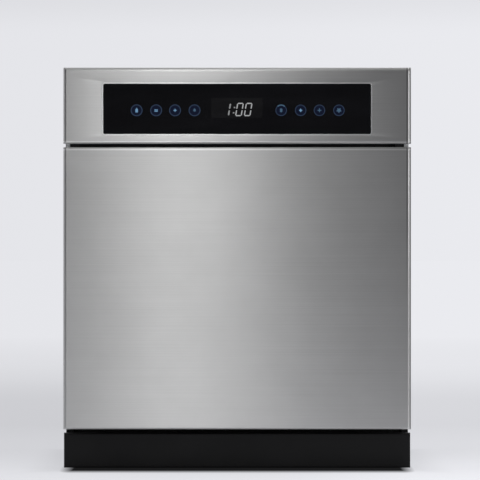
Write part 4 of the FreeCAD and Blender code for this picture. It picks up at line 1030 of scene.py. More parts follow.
def band(outer, inner, x, z, face, start=0.0, end=360.0, steps=48):
    """A ring or an arc between two radii, as a thin layer; angles in degrees from +x."""
    if end - start >= 360:
        behind, before = face + PRINT_SUNK, face - PRINT
        outline = [(outer, behind), (outer, before), (inner, before), (inner, behind)]
        return hoop(outline, (x, 0, z), "y", steps)
    turn = np.radians(np.linspace(start, end, steps // 2))
    out = np.stack([x + outer * np.cos(turn), z + outer * np.sin(turn)], axis=-1)
    back = np.stack([x + inner * np.cos(turn), z + inner * np.sin(turn)], axis=-1)
    return plate(np.concatenate([out, back[::-1]]), face)


def bar(x0, x1, z0, z1, face, corner=0.25):
    """A printed bar with rounded corners."""
    return plate(ring_of(x0, x1, z0, z1, corner, 2), face)


def glyph(kind, x, z, face):
    """A generic mark of about 6 mm: tank, plate, plus, drop, dome, star, cross or flower."""
    if kind == "tank":
        return joined([bar(x - 2.2, x + 2.2, z - 3.6, z + 2.2, face),
                       bar(x - 1.1, x + 1.1, z + 2.7, z + 4.0, face)])
    if kind == "plate":
        return joined([bar(x - 2.9, x + 2.9, z - 2.4, z - 1.1, face),
                       bar(x - 2.7, x - 0.4, z - 0.6, z + 1.8, face),
                       bar(x + 0.4, x + 2.7, z - 0.6, z + 1.8, face)])
    if kind in ("plus", "cross"):
        wide = 2.6 if kind == "plus" else 3.3
        return joined([bar(x - wide, x + wide, z - 0.8, z + 0.8, face),
                       bar(x - 0.8, x + 0.8, z - wide, z - 0.9, face),
                       bar(x - 0.8, x + 0.8, z + 0.9, z + wide, face)])
    turn = full_turn(28)
    reach = {
        "drop": 2.3 + 0.9 * np.maximum(np.sin(turn), 0) ** 6,
        "dome": 1.9 + 1.5 * np.abs(np.sin(turn)),
        "star": 2.3 + 0.7 * np.cos(4 * turn),
        "flower": 3.5 + 0.9 * np.cos(5 * turn + math.pi / 2),
    }[kind]
    return plate(np.stack([x + reach * np.cos(turn), z + reach * np.sin(turn)], axis=-1), face)


LEFT_KEYS = ((-172.6, "tank"), (-139.1, "plate"), (-106.6, "plus"), (-73.1, "drop"))
RIGHT_KEYS = ((75.7, "dome"), (109.2, "star"), (141.5, "cross"), (175.0, "flower"))
DIM_MARKS = ("drop", "dome", "cross", "flower")


class DISHWASHER_OT_touch_keys(Operator):
    """Prints the eight lit touch rings and their marks on the glass"""

    bl_idname = "dishwasher.touch_keys"
    bl_label = "Touch keys"

    def execute(self, context):
        front = context.scene.dishwasher_front
        face = span("control_glass")[0][1]
        z = front.key_height / MM
        outer = front.key_radius / MM
        rings, grounds, bright, dim = [], [], [], []
        for x, kind in LEFT_KEYS + RIGHT_KEYS:
            wide, reach = (1.8, outer) if x < 0 else (1.5, outer - 0.4)
            rings.append(band(reach, reach - wide, x, z, face))
            grounds.append(band(reach - wide - 0.4, 0.02, x, z, face))
            (dim if kind in DIM_MARKS else bright).append(glyph(kind, x, z, face - MARK_LIFT))
        x = RIGHT_KEYS[0][0]
        dim.append(band(outer - 0.2, outer - 2.2, x, z, face - MARK_LIFT, 48, 132))
        put("key_rings", joined(rings), "door", "ring_light")
        put("key_grounds", joined(grounds), "door", "key_navy")
        put("key_marks", joined(bright), "door", "glyph_light")
        put("key_marks_dim", joined(dim), "door", "glyph_dim")
        return {"FINISHED"}


def segment(a, b, half, lean, base, face):
    """One bar of a digit from a to b with pointed ends, sheared by the digit's lean."""
    a, b = np.asarray(a, float), np.asarray(b, float)
    run = (b - a) / np.linalg.norm(b - a)
    side = np.array([-run[1], run[0]]) * half
    tip = run * half
    outline = np.array([a, a + tip + side, b - tip + side, b, b - tip - side, a + tip - side])
    outline[:, 0] += lean * (outline[:, 1] - base)
    return plate(outline, face)


# Time display in millimetres: its middle over the floor and the edges of its lit ground
DIGITS_Z = 620.2
DISPLAY_GROUND = (-44.5, 43.5, 606.0, 640.0)


class DISHWASHER_OT_display(Operator):
    """Lights the time on the display: plain leaning digits of seven bars"""

    bl_idname = "dishwasher.display"
    bl_label = "Display"

    def execute(self, context):
        front = context.scene.dishwasher_front
        face = span("control_glass")[0][1]
        tall = front.digit_height / MM
        lean = math.tan(front.digit_slant)
        z0, z1 = DIGITS_Z - tall / 2 + 1, DIGITS_Z + tall / 2 - 1
        mid = (z0 + z1) / 2
        gap, waist, wide = 0.25, 1.0, 9.6

        def digit(x, bars, half):
            left, right = x - wide / 2, x + wide / 2
            ends = {
                "top": ((left + gap, z1), (right - gap, z1)),
                "bottom": ((left + gap, z0), (right - gap, z0)),
                "upper left": ((left, mid + waist), (left, z1 - gap)),
                "upper right": ((right, mid + waist), (right, z1 - gap)),
                "lower left": ((left, z0 + gap), (left, mid - waist)),
                "lower right": ((right, z0 + gap), (right, mid - waist)),
            }
            return [segment(*ends[key], half, lean, mid, face - MARK_LIFT) for key in bars]

        ring = ("top", "bottom", "upper left", "upper right", "lower left", "lower right")
        zeros = digit(4.1, ring, 0.95) + digit(19.0, ring, 0.95)
        one = digit(-17.9, ("upper right", "lower right"), 1.35)
        dots = [bar(-5.0 + lean * dz - 1.4, -5.0 + lean * dz + 1.4, mid + dz - 1.1, mid + dz + 1.1,
                    face - MARK_LIFT) for dz in (-5.6, 3.4)]
        put("display_ground", bar(*DISPLAY_GROUND, face, 1.5), "door", "display_ground")
        put("digits", joined(zeros), "door", "digit_light")
        put("digits_dim", joined(one + dots), "door", "digit_dim")
        return {"FINISHED"}


# The seen plinth reaches this much farther than its node, at both sides and downwards
PLINTH_MORE = 1.8
PLINTH_DEPTH = 18.0


class DISHWASHER_OT_plinth(Operator):
    """Builds the black kick plate with its rounded front edges and returned ends"""

    bl_idname = "dishwasher.plinth"
    bl_label = "Plinth"

    def execute(self, context):
        low, high = span("plinth")
        low = low - (PLINTH_MORE, 0, PLINTH_MORE)
        high = np.array([high[0] + PLINTH_MORE, low[1] + PLINTH_DEPTH, high[2]])
        shape = folded_front(low, high, 3, 3, 2, (0, 0))[0]
        piece = put("kick_plate", shape, "cabinet", "black_plastic", ("plinth",),
                    crease=FOLD_CREASE)
        largest = max(piece.data.polygons, key=lambda face: face.area)
        if largest.normal.y > 0:
            piece.data.flip_normals()
        sheeted(piece, 1.9)
        arm = soft_block((180.5, low[1] + 2, 25.2), (205, -214.8, 28.8), 1.0)
        put("kick_plate_arms", both(arm), "cabinet", "black_plastic", ("plinth",))
        # Black corners of the base, which close the ends of the gap over the plinth
        shield = soft_block((284, -236, 20), (296, -213.5, 68.5), 1.5)
        put("tray_shields", both(shield), "cabinet", "black_plastic", ("base_tray",))
        return {"FINISHED"}


# Inside: sizes shared by the tub, the racks and the arms, in millimetres

TUB_HALF = 265.0
TUB_ROOF = 667.0
TUB_FRONT = -229.0
TUB_REAR = 255.0
TUB_MID = 13.0
RACK_FRONT = -199.0
RACK_REAR = 214.0
WIRE = 2.0
FRAME_WIRE = 3.0
TINE = 1.6
FRAME_REACH = 5.05
LAYER = 4.05
ALONG_X = (1.0, 0.0, 0.0)
ALONG_Y = (0.0, 1.0, 0.0)
ALONG_Z = (0.0, 0.0, 1.0)


def rack_frame(half, z):
    """The thick top wire of a rack: one closed loop with rounded corners."""
    loop = ring_of(-half - FRAME_REACH, half + FRAME_REACH, RACK_FRONT - FRAME_REACH,
                   RACK_REAR + FRAME_REACH, 13.0, 5)
    return wire(raised(loop, z), FRAME_WIRE, ALONG_Z, 8, wrap=True)


def cross_wires(half, places, floor_z, top):
    """Wires that run down one side, across the floor and up the other side."""
    return [wire(bent([(-half, y, top), (-half, y, floor_z), (half, y, floor_z), (half, y, top)],
                      9.0), WIRE, ALONG_Y) for y in places]


def tine_rows(columns, rows, z0, height):
    """Rows of upright tines on the long floor wires, each with a domed tip."""
    return [upright(x, y, z0, z0 + height, TINE) for x in columns for y in rows]


def grip(z0, z1):
    """Moulded handle on a rack's front wires: a rounded bar with a scooped back and ribs."""
    low = np.array([-80.0, -206.1, z0])
    high = np.array([80.0, -201.1, z1])
    body = soft_block(low, high, 2.2, 3)
    ribs = [soft_block((x - 1.2, -206.6, z0 + 5), (x + 1.2, -205.6, z1 - 5), 0.45, 2)
            for x in np.arange(-66.0, 67.0, 6.0)]
    return joined([body] + ribs)


class DISHWASHER_OT_upper_rack(Operator):
    """Builds the upper basket of bent coated wires with its slides, feed pipe and grip"""

    bl_idname = "dishwasher.upper_rack"
    bl_label = "Upper rack"

    def execute(self, context):
        half, top = 234.0, 554.0
        floor_z = 433.975
        long_z = floor_z + LAYER
        across = np.linspace(-half + 22, half - 22, 10)
        along = np.linspace(-179.0, 194.0, 7)
        wires = [rack_frame(half, top - FRAME_WIRE)]
        wires += cross_wires(half, along, floor_z, top - 1)
        wires += [wire(bent([(x, RACK_FRONT, top - 1), (x, RACK_FRONT, long_z),
                             (x, RACK_REAR, long_z), (x, RACK_REAR, top - 1)], 9.0),
                       WIRE, ALONG_X) for x in across]
        wires += tine_rows(across[[3, 6]], np.linspace(RACK_FRONT + 40, RACK_REAR - 40, 9),
                           long_z + TINE, 52.5)
        put("upper_wires", joined(wires), "upper_rack", "coated_wire", ("upper_rack",))
        slide = soft_block((249, -205, 475.2), (261.3, 235, 492.8), 1.2)
        groove = [soft_block((261.0, -200, z - 1.6), (261.9, 230, z + 1.6), 0.4)
                  for z in (479.5, 488.5)]
        put("inner_slides", both(joined([slide] + groove)), "upper_rack", "tub_steel",
            ("upper_rack",))
        carrier = [soft_block((236.05, -145, 467.2), (249.2, 160, 500.8), 2.5, 3)]
        carrier += [soft_block((232.5, y - 5, 470.0), (236.6, y + 5, 478.0), 1.0)
                    for y in along[1:6]]
        put("rack_carriers", both(joined(carrier)), "upper_rack", "grey_plastic",
            ("upper_rack",))
        feed = [wire([(0, TUB_MID, 424.5), (0, 120, 424.5), (0, 218, 424.5), (0, 228.5, 424.5)],
                     7.0, ALONG_X, 20, tip=False),
                turned([(0, 416.5), (14.8, 416.5), (16, 417.7), (16, 428.5), (13.5, 431.8),
                        (0, 431.8)], (0, TUB_MID, 0), "z", 32),
                turned([(0, 400), (8.8, 400), (10, 401), (10, 404.6), (9.2, 405.5), (6, 405.5),
                        (6, 417), (0, 417)], (0, TUB_MID, 0), "z", 32)]
        feed += [hoop([(6.9, y - 2), (8.4, y - 1.4), (8.4, y + 1.4), (6.9, y + 2)],
                      (0, 0, 424.5), "y", 24) for y in (60, 110, 160, 205)]
        put("upper_feed", joined(feed), "upper_rack", "grey_plastic", ("upper_rack",))
        put("upper_grip", grip(520, 547), "upper_rack", "light_plastic", ("upper_rack",))
        return {"FINISHED"}


def wheel(x0, y, z):
    """A plastic wheel: tyre, thin web and hub turned about x, with six ribs on the web."""
    x1 = x0 + 9.0
    outline = [(2.55, x0), (5.4, x0), (6.0, x0 + 2.6), (12.0, x0 + 2.6), (12.6, x0 + 0.2),
               (15.9, x0), (17, x0 + 1.1), (17, x1 - 1.1), (15.9, x1), (12.6, x1 - 0.2),
               (12.0, x1 - 2.6), (6.0, x1 - 2.6), (5.4, x1), (2.55, x1)]
    parts = [hoop(outline, (0, y, z), "x", 36)]
    rib = soft_block((x0 + 0.8, -0.9, 5.0), (x1 - 0.8, 0.9, 12.8), 0.3, 1)
    for turn in np.arange(6) * math.pi / 3:
        spin = np.array([[1, 0, 0], [0, math.cos(turn), -math.sin(turn)],
                         [0, math.sin(turn), math.cos(turn)]])
        parts.append((rib[0] @ spin.T + (0, y, z), rib[1]))
    return joined(parts)


class DISHWASHER_OT_lower_rack(Operator):
    """Builds the lower basket with its raised nose, tines, folding row and wheels"""

    bl_idname = "dishwasher.lower_rack"
    bl_label = "Lower rack"

    def execute(self, context):
        half, top = 232.0, 302.0
        floor_z = 192.0
        long_z = floor_z + LAYER
        nose_y, nose_z = -144.0, 243.0
        axle_z = 175.3
        across = np.linspace(-212.0, 212.0, 9)
        along = np.linspace(nose_y, 200.0, 8)
        wires = [rack_frame(half, top - FRAME_WIRE)]
        wires += cross_wires(half, along, floor_z, top - 1)
        wires += [wire(bent([(x, RACK_FRONT, top - 1), (x, RACK_FRONT, nose_z),
                             (x, nose_y, long_z), (x, RACK_REAR, long_z),
                             (x, RACK_REAR, top - 1)], 8.0), WIRE, ALONG_X) for x in across]
        wires += [wire([(x, nose_y, axle_z + 14), (x, 0, axle_z + 14), (x, RACK_REAR, axle_z + 14)],
                       FRAME_WIRE, ALONG_Z) for x in (-half - FRAME_REACH, half + FRAME_REACH)]
        wires += tine_rows(across[[1, 3]], np.linspace(nose_y + 12, RACK_REAR - 30, 11),
                           long_z + TINE, 70.5)
        put("lower_wires", joined(wires), "lower_rack", "coated_wire", ("lower_rack",))
        put("lower_grip", grip(268, 295), "lower_rack", "light_plastic", ("lower_rack",))
        brackets = []
        wheel_places = (-95.0, 35.0, 165.0)
        for y in wheel_places:
            brackets += [soft_block((234.1, y - 9, axle_z - 7), (240, y + 9, axle_z + 10.9),
                                    1.8, 3),
                         turned([(0, 234.5), (2.5, 234.5), (2.5, 250.6), (4.6, 250.6), (5, 251.1),
                                 (4.6, 252.2), (3.6, 252.5), (0, 252.5)], (0, y, axle_z), "x", 24)]
        put("axle_brackets", both(joined(brackets)), "lower_rack", "grey_plastic",
            ("lower_rack",))
        for place, y in zip(("front", "middle", "rear"), wheel_places):
            node = "rack_wheels_" + place
            put("wheels_" + place, both(wheel(241.0, y, axle_z)), HOME[node],
                "grey_plastic", (node,))
        fold_x, fold_z = across[6], 201.05
        rows = np.linspace(nose_y + 12, 140.0, 8)
        fold = [wire([(fold_x, rows[0] - 8, fold_z), (fold_x, 0, fold_z),
                      (fold_x, rows[-1] + 8, fold_z)], 2.4, ALONG_Z, 10)]
        fold += [upright(fold_x, y, fold_z, fold_z + 66, TINE) for y in rows]
        fold += [hoop([(2.3, y - 3), (3.0, y - 2.4), (3.0, y + 2.4), (2.3, y + 3)],
                      (fold_x, 0, fold_z), "y", 14) for y in rows]
        put("folding_row", joined(fold), "folding_tines", "coated_wire", ("folding_tines",))
        return {"FINISHED"}


class DISHWASHER_OT_basket(Operator):
    """Builds the open cutlery basket with its lattice walls and four cells"""

    bl_idname = "dishwasher.basket"
    bl_label = "Cutlery basket"

    def execute(self, context):
        low, high = span("cutlery_basket")
        wall = 2.0
        z0, z1 = low[2], high[2]
        rails = (low[1], high[1], z0, z1)
        inner = (low[0] + wall, high[0] - wall, z0, z1)
        parts = [lattice(rails, "side", low[0] + wall / 2, 36, 6, 3.0, 5.0),
                 lattice(rails, "side", high[0] - wall / 2, 36, 6, 3.0, 5.0)]
        ends = np.linspace(low[1] + wall / 2, high[1] - wall / 2, 5)
        parts += [lattice(inner, "front", y, 7, 6, 3.0, 5.0) for y in ends]
        base = (low[0] + wall, high[0] - wall, low[1] + wall, high[1] - wall)
        parts += [lattice(base, "flat", z0 + wall / 2, 7, 32, 3.4, 3.0)]
        for number, part in enumerate(parts):
            piece = put("basket_wall_%d" % number, part, HOME["cutlery_basket"],
                        "light_plastic", ("cutlery_basket",))
            sheeted(piece, wall, 0.0)
        loop = ring_of(low[0] + 1.2, high[0] - 1.2, low[1] + 1.2, high[1] - 1.2, 4.0, 4)
        rim = wire(raised(loop, z1 - 1.3), 1.25, ALONG_Z, 8, wrap=True)
        put("basket_rim", rim, HOME["cutlery_basket"], "light_plastic", ("cutlery_basket",))
        return {"FINISHED"}


class DISHWASHER_OT_cup_shelves(Operator):
    """Builds the two slotted cup shelves that fold up beside the upper rack"""

    bl_idname = "dishwasher.cup_shelves"
    bl_label = "Cup shelves"

    def execute(self, context):
        x1, y0, y1, z = 230.2, -175.0, 190.0, 520.0
        x0 = x1 - 86.0
        slots = [(x0 + 12, x1 - 14, y - 12, y + 12) for y in np.linspace(y0 + 24, y1 - 24, 9)]
        bars = [(x0 + 12 + k * 20 - 1.2, x0 + 12 + k * 20 + 1.2) for k in (1, 2)]
        tray = pan((x0, x1 - 1.0, y0, y1), "flat", z + 1.5, 1, 1.2, 0.0, holes=slots)
        strips = [soft_block((a, y0 + 6, z - 1.3), (b, y1 - 6, z + 1.3), 0.5) for a, b in bars]
        barrel = wire([(x1, y0, z), (x1, 0, z), (x1, y1, z)], 1.5, ALONG_Z, 12)
        lip = soft_block((x0, y0 + 3, z - 1.5), (x0 + 2.4, y1 - 3, z + 1.5), 0.9)
        for side, turn in (("left", flipped), ("right", lambda shape: shape)):
            node = "cup_shelf_" + side
            piece = put("shelf_tray_" + side, turn(tray), HOME[node],
                        "light_plastic", (node,), outward=ALONG_Z)
            sheeted(piece, 2.8)
            put("shelf_bars_" + side, turn(joined(strips + [barrel, lip])), HOME[node],
                "light_plastic", (node,))
        return {"FINISHED"}


def arm_blades(reach, z0, z1):
    """Both blades of a spray arm: rounded sections lofted along x.

    The half width falls straight from root to tip and closes there as a quarter circle; the
    middle line leans to one side in step with x, so the arm is the same turned half round.
    """
    root, tip, lean = 21.6, 15.0, 6.0
    tip_x = reach - tip
    inner = np.linspace(0, tip_x, 9)
    outer = tip_x + tip * np.sin(quarter(7))[1:]
    half = np.concatenate([root + (tip - root) * inner / tip_x,
                           np.sqrt(np.maximum(tip ** 2 - (outer - tip_x) ** 2, 0.01))])
    x = np.concatenate([inner, outer])
    x, half = np.concatenate([-x[:0:-1], x]), np.concatenate([half[:0:-1], half])
    centre = lean * np.clip(x / tip_x, -1, 1)
    turn = full_turn(28)
    squarish = 0.42
    wide = np.sign(np.cos(turn)) * np.abs(np.cos(turn)) ** squarish
    high = np.sign(np.sin(turn)) * np.abs(np.sin(turn)) ** squarish
    low_z, top_z = z0 + 2.0, z1 - 1.0
    thick = (top_z - low_z) / 2 * np.minimum(1, 0.35 + half / 14)
    rings = np.stack([np.repeat(x[:, None], 28, axis=1),
                      TUB_MID + centre[:, None] + half[:, None] * wide,
                      (low_z + top_z) / 2 + thick[:, None] * high], axis=-1)
    return loft(rings)


def spray_arm(name, node, reach, z0, z1, bore):
    """One spray arm with its hub and the raised nozzles on both blades."""
    parts = [arm_blades(reach, z0, z1),
             hoop([(bore, z0), (22.5, z0), (24, z0 + 1.2), (24, z1 - 2.2), (22, z1 - 0.4),
                   (15, z1), (bore, z1)], (0, TUB_MID, 0), "z", 48)]
    nozzle = [(0, z1 - 2.2), (4.4, z1 - 2.2), (3.6, z1 - 0.6), (2.6, z1), (1.5, z1),
              (1.2, z1 - 1.2), (0, z1 - 1.2)]
    for side in (1, -1):
        for share, shift in ((0.26, -6), (0.42, 5), (0.58, -5), (0.74, 4), (0.90, -2)):
            x = side * reach * share
            y = TUB_MID + side * (6.0 * abs(x) / (reach - 15) + shift)
            parts.append(turned(nozzle, (x, y, 0), "z", 16))
    rib = soft_block((-reach * 0.80, TUB_MID - 1.2, z0 + 1.0),
                     (reach * 0.80, TUB_MID + 1.2, z0 + 3), 0.5)
    put(name, joined(parts + [rib]), HOME[node], "grey_plastic", (node,))


class DISHWASHER_OT_spray(Operator):
    """Builds the two spray arms, the post of the lower one and the riser pipe"""

    bl_idname = "dishwasher.spray"
    bl_label = "Spray arms"

    def execute(self, context):
        spray_arm("lower_arm", "lower_spray_arm", 217.0, 160.5, 170.5, 8.05)
        spray_arm("upper_arm", "upper_spray_arm", 212.0, 406.0, 416.0, 6.05)
        post = turned([(0, 91), (13, 91), (13, 159.2), (12.2, 160), (8, 160), (8, 173.4),
                       (0, 173.4)], (0, TUB_MID, 0), "z", 36)
        nut = lobed([(0, 173.3, 0), (11.0, 173.3, 0.05), (11.4, 174.3, 0.05), (10.4, 178.6, 0.04),
                     (9.0, 179.5, 0.02), (4.0, 179.5, 0), (3.4, 178.5, 0), (0, 178.5, 0)],
                    (0, TUB_MID, 0), "z", 10, 60)
        put("arm_post", joined([post, nut]), "cabinet", "grey_plastic", ("spray_hub",))
        riser_y, roof_z = 244.0, 655.0
        run = bent([(0, TUB_MID + 83.5, 118), (0, riser_y, 118), (0, riser_y, roof_z),
                    (0, TUB_MID, roof_z)], 20.0, 8)
        parts = [wire(run, 9.0, ALONG_X, 24, tip=False)]
        parts += [hoop([(8.9, z - 3), (10.4, z - 2), (10.4, z + 2), (8.9, z + 3)],
                       (0, riser_y, 0), "z", 28) for z in (160, 300, 560)]
        parts += [turned([(0, 229), (9.5, 229), (11, 230.2), (11, 244), (0, 244)],
                         (0, 0, 424.5), "y", 28),
                  turned([(0, 644), (31.5, 644), (34, 646), (34, 649), (30, 652), (12, 653),
                          (9, 656), (0, 656)], (0, TUB_MID, 0), "z", 48),
                  soft_block((-6, 250, 202), (6, 255, 217), 0.8),
                  soft_block((-6, 73, 662), (6, 88, 667), 0.8)]
        parts += [turned([(0, 643.6), (1.6, 643.6), (2.4, 644.6), (0, 644.6)],
                         (24 * math.cos(a), TUB_MID + 24 * math.sin(a), 0), "z", 10)
                  for a in full_turn(12)]
        put("riser", joined(parts), "cabinet", "grey_plastic", ("riser_pipe",))
        return {"FINISHED"}


class DISHWASHER_OT_sump(Operator):
    """Builds the sump bowl, the filter plate and cup, the salt cap and the float"""

    bl_idname = "dishwasher.sump"
    bl_label = "Sump and filters"

    def execute(self, context):
        bowl = hoop([(0.01, 88), (76, 88), (80, 90), (85, 132), (87, 135), (98, 135), (98, 140),
                     (83, 140), (81, 136), (76, 93.5), (73, 91), (0.01, 91)],
                    (0, TUB_MID, 0), "z", 72)
        put("sump_bowl", bowl, "cabinet", "grey_plastic", ("sump",))
        softened("filter_plate", "filter_mesh", 0.3)
        cup_y = TUB_MID - 46.0
        shell = hoop([(27, 97), (30, 98), (30, 143.6), (32, 143.6), (32, 145.4), (30.6, 146),
                      (30, 154.4), (29.4, 155), (27.4, 155), (27, 154.4)], (0, cup_y, 0), "z", 56)
        base = turned([(0, 97), (28, 97), (28, 100), (0, 100)], (0, cup_y, 0), "z", 56)
        put("filter_cup", joined([shell, base]), "micro_filter", "filter_mesh",
            ("micro_filter",))
        bar_shape = [soft_block((-29, cup_y - 2, 141), (29, cup_y + 2, 155), 1.4, 3)]
        bar_shape += [hoop([(29.8, z - 1.2), (30.9, z - 0.7), (30.9, z + 0.7), (29.8, z + 1.2)],
                           (0, cup_y, 0), "z", 48) for z in (110, 125)]
        put("filter_grip", joined(bar_shape), "micro_filter", "grey_plastic",
            ("micro_filter",))
        salt = (-178.0, -130.5, 0)
        cap = lobed([(0, 133.6, 0), (23.5, 133.6, 0), (23.5, 143.6, 0), (30.4, 143.6, 0.012),
                     (30.6, 147.0, 0.012), (29.4, 148.4, 0.008), (27.5, 148.6, 0), (0, 148.6, 0)],
                    salt, "z", 18, 108)
        bar_top = moved(soft_block((-20, -3, 148), (20, 3, 154.6), 2.0, 3), salt)
        put("salt_cap", joined([cap, bar_top]), "softener_cap", SLOTS["softener_cap"],
            ("softener_cap",))
        low, high = span("water_float")
        place = (float(low[0] + high[0]) / 2, float(low[1] + high[1]) / 2, 0)
        dome = turned([(0, 122.3), (3, 122.3), (3, 142.3), (15, 142.3), (15, 152.3), (14.7, 153.8),
                       (13.8, 155.1), (12.5, 156), (11, 156.3), (0, 156.3)], place, "z", 40)
        put("float_dome", dome, "water_float", SLOTS["water_float"], ("water_float",))
        return {"FINISHED"}


class DISHWASHER_OT_tub(Operator):
    """Builds the pressed tub: folded sides and roof, rear wall, mouth frame and door seal"""

    bl_idname = "dishwasher.tub"
    bl_label = "Tub"

    def execute(self, context):
        fold, bottom = 14.0, 140.0
        side = TUB_ROOF - fold - bottom
        arc = fold * math.pi / 2
        roof = 2 * (TUB_HALF - fold)
        whole = 2 * side + 2 * arc + roof
        mid = whole / 2
        pads = []
        for start in (0.0, whole):
            for low, high in ((70.0, 300.0), (385.0, 500.0)):
                ends = sorted((abs(start - low), abs(start - high)))
                pads.append((-185, 215, ends[0], ends[1], 2.0, 9.0))
        pads += [(-180, 215, mid + near, mid + far, 2.0, 9.0)
                 for near, far in ((-205, -45), (45, 205))]
        us = stations(TUB_FRONT + 1.5, TUB_REAR, pads, 0)
        vs = np.unique(np.concatenate([stations(0, whole, pads, 2),
                                       side + np.linspace(0, arc, 9),
                                       whole - side - np.linspace(0, arc, 9)]))
        y, s = np.meshgrid(us, vs)
        t = np.minimum(s, whole - s)
        angle = np.clip((t - side) / fold, 0, math.pi / 2)
        x = np.where(t < side + arc, TUB_HALF - fold + fold * np.cos(angle),
                     TUB_HALF - fold - (t - side - arc))
        z = np.where(t < side, bottom + t, TUB_ROOF - fold + fold * np.sin(angle))
        rise = relief(y, s, pads)
        x = x + rise * np.cos(angle)
        z = z + rise * np.sin(angle)
        x = np.where(s > mid, -x, x)
        points = np.stack([x, y, z], axis=-1).reshape(-1, 3)
        shape = (points, cells(len(vs), len(us), wrap_columns=False))
        sheeted(put("tub_shell", shape, "cabinet", "tub_steel", ("tub_wrapper",),
                    outward=(0, 0, -1)), 1.4)
        slot = (-8.3, 8.3, 679.2, 682.3)
        mouth = (-TUB_HALF, TUB_HALF, 110.0, TUB_ROOF)
        frame_sheet = pan((-282, 282, 118, 688), "front", TUB_FRONT, -1, holes=(slot, mouth))
        sheeted(put("mouth_frame", frame_sheet, "cabinet", "tub_steel", ("tub_wrapper",),
                    outward=(0, -1, 0)), 1.5)
        pads = [(-238, -38, 195, 400, 2.0, 9.0), (38, 238, 195, 400, 2.0, 9.0),
                (-238, -38, 450, 640, 2.0, 9.0), (38, 238, 450, 640, 2.0, 9.0)]
        back = pan((-266.5, 266.5, 140, 668.5), "front", TUB_REAR, 1, pads=pads)
        sheeted(put("tub_back", back, "cabinet", "tub_steel", ("tub_rear_wall",),
                    outward=(0, -1, 0)), 1.4)
        softened("tub_floor", "tub_steel", 0.5)
        bead = [hoop([(97, 141.9), (98.5, 143.2), (101.5, 143.6), (104.5, 143.2), (106, 141.9)],
                     (0, TUB_MID, 0), "z", 72),
                hoop([(33, 141.9), (34.5, 143.1), (37.5, 143.1), (39, 141.9)],
                     (-178, -130.5, 0), "z", 48)]
        put("floor_beads", joined(bead), "cabinet", "tub_steel", ("tub_floor",))
        seal_x, seal_z, seal_y = TUB_HALF + 6, TUB_ROOF + 6, -230.85
        path = bent([(seal_x, seal_y, 150), (seal_x, seal_y, seal_z), (-seal_x, seal_y, seal_z),
                     (-seal_x, seal_y, 150)], 12.0, 8)
        bulb = [(-4, 1.85), (-4, 0.6), (-3.4, -0.6), (-2.2, -1.5), (-0.8, -1.8), (0.4, -1.5),
                (1.0, -0.8), (1.6, -0.2), (2.6, -0.6), (3.4, -0.4), (4, 0.6), (4, 1.85)]
        parts = [swept(path, bulb, ALONG_Y),
                 soft_block((-263, -232.6, 120), (263, -229, 124), 1.2, 3),
                 soft_block((-263, -232.2, 125), (263, -229, 128), 1.0, 3)]
        put("door_seal", joined(parts), "cabinet", "seal_rubber", ("tub_gasket",))
        return {"FINISHED"}


def track(x0, x1):
    """Wheel track on the liner: a rounded rail whose height rises and falls along z."""
    z = np.array([184.0, 186.0, 197.5, 209.0, 213.0, 250, 320, 400, 424.0, 428.0, 439.5, 451.0,
                  453.0])
    height = np.interp(z, [184, 211, 426, 453], [0.2, 20, 20, 0.2])
    corner = np.minimum(1.6, height * 0.45)
    turn = quarter(3)
    left = x0 + corner[:, None] * (1 - np.cos(turn))
    tall = -233 + height[:, None] - corner[:, None] * (1 - np.sin(turn))
    x = np.concatenate([np.full((len(z), 1), x0), left, x0 + x1 - left[:, ::-1],
                        np.full((len(z), 1), x1)], axis=1)
    y = np.concatenate([np.full((len(z), 1), -233.5), tall, tall[:, ::-1],
                        np.full((len(z), 1), -233.5)], axis=1)
    return loft(np.stack([x, y, np.repeat(z[:, None], x.shape[1], axis=1)], axis=-1))


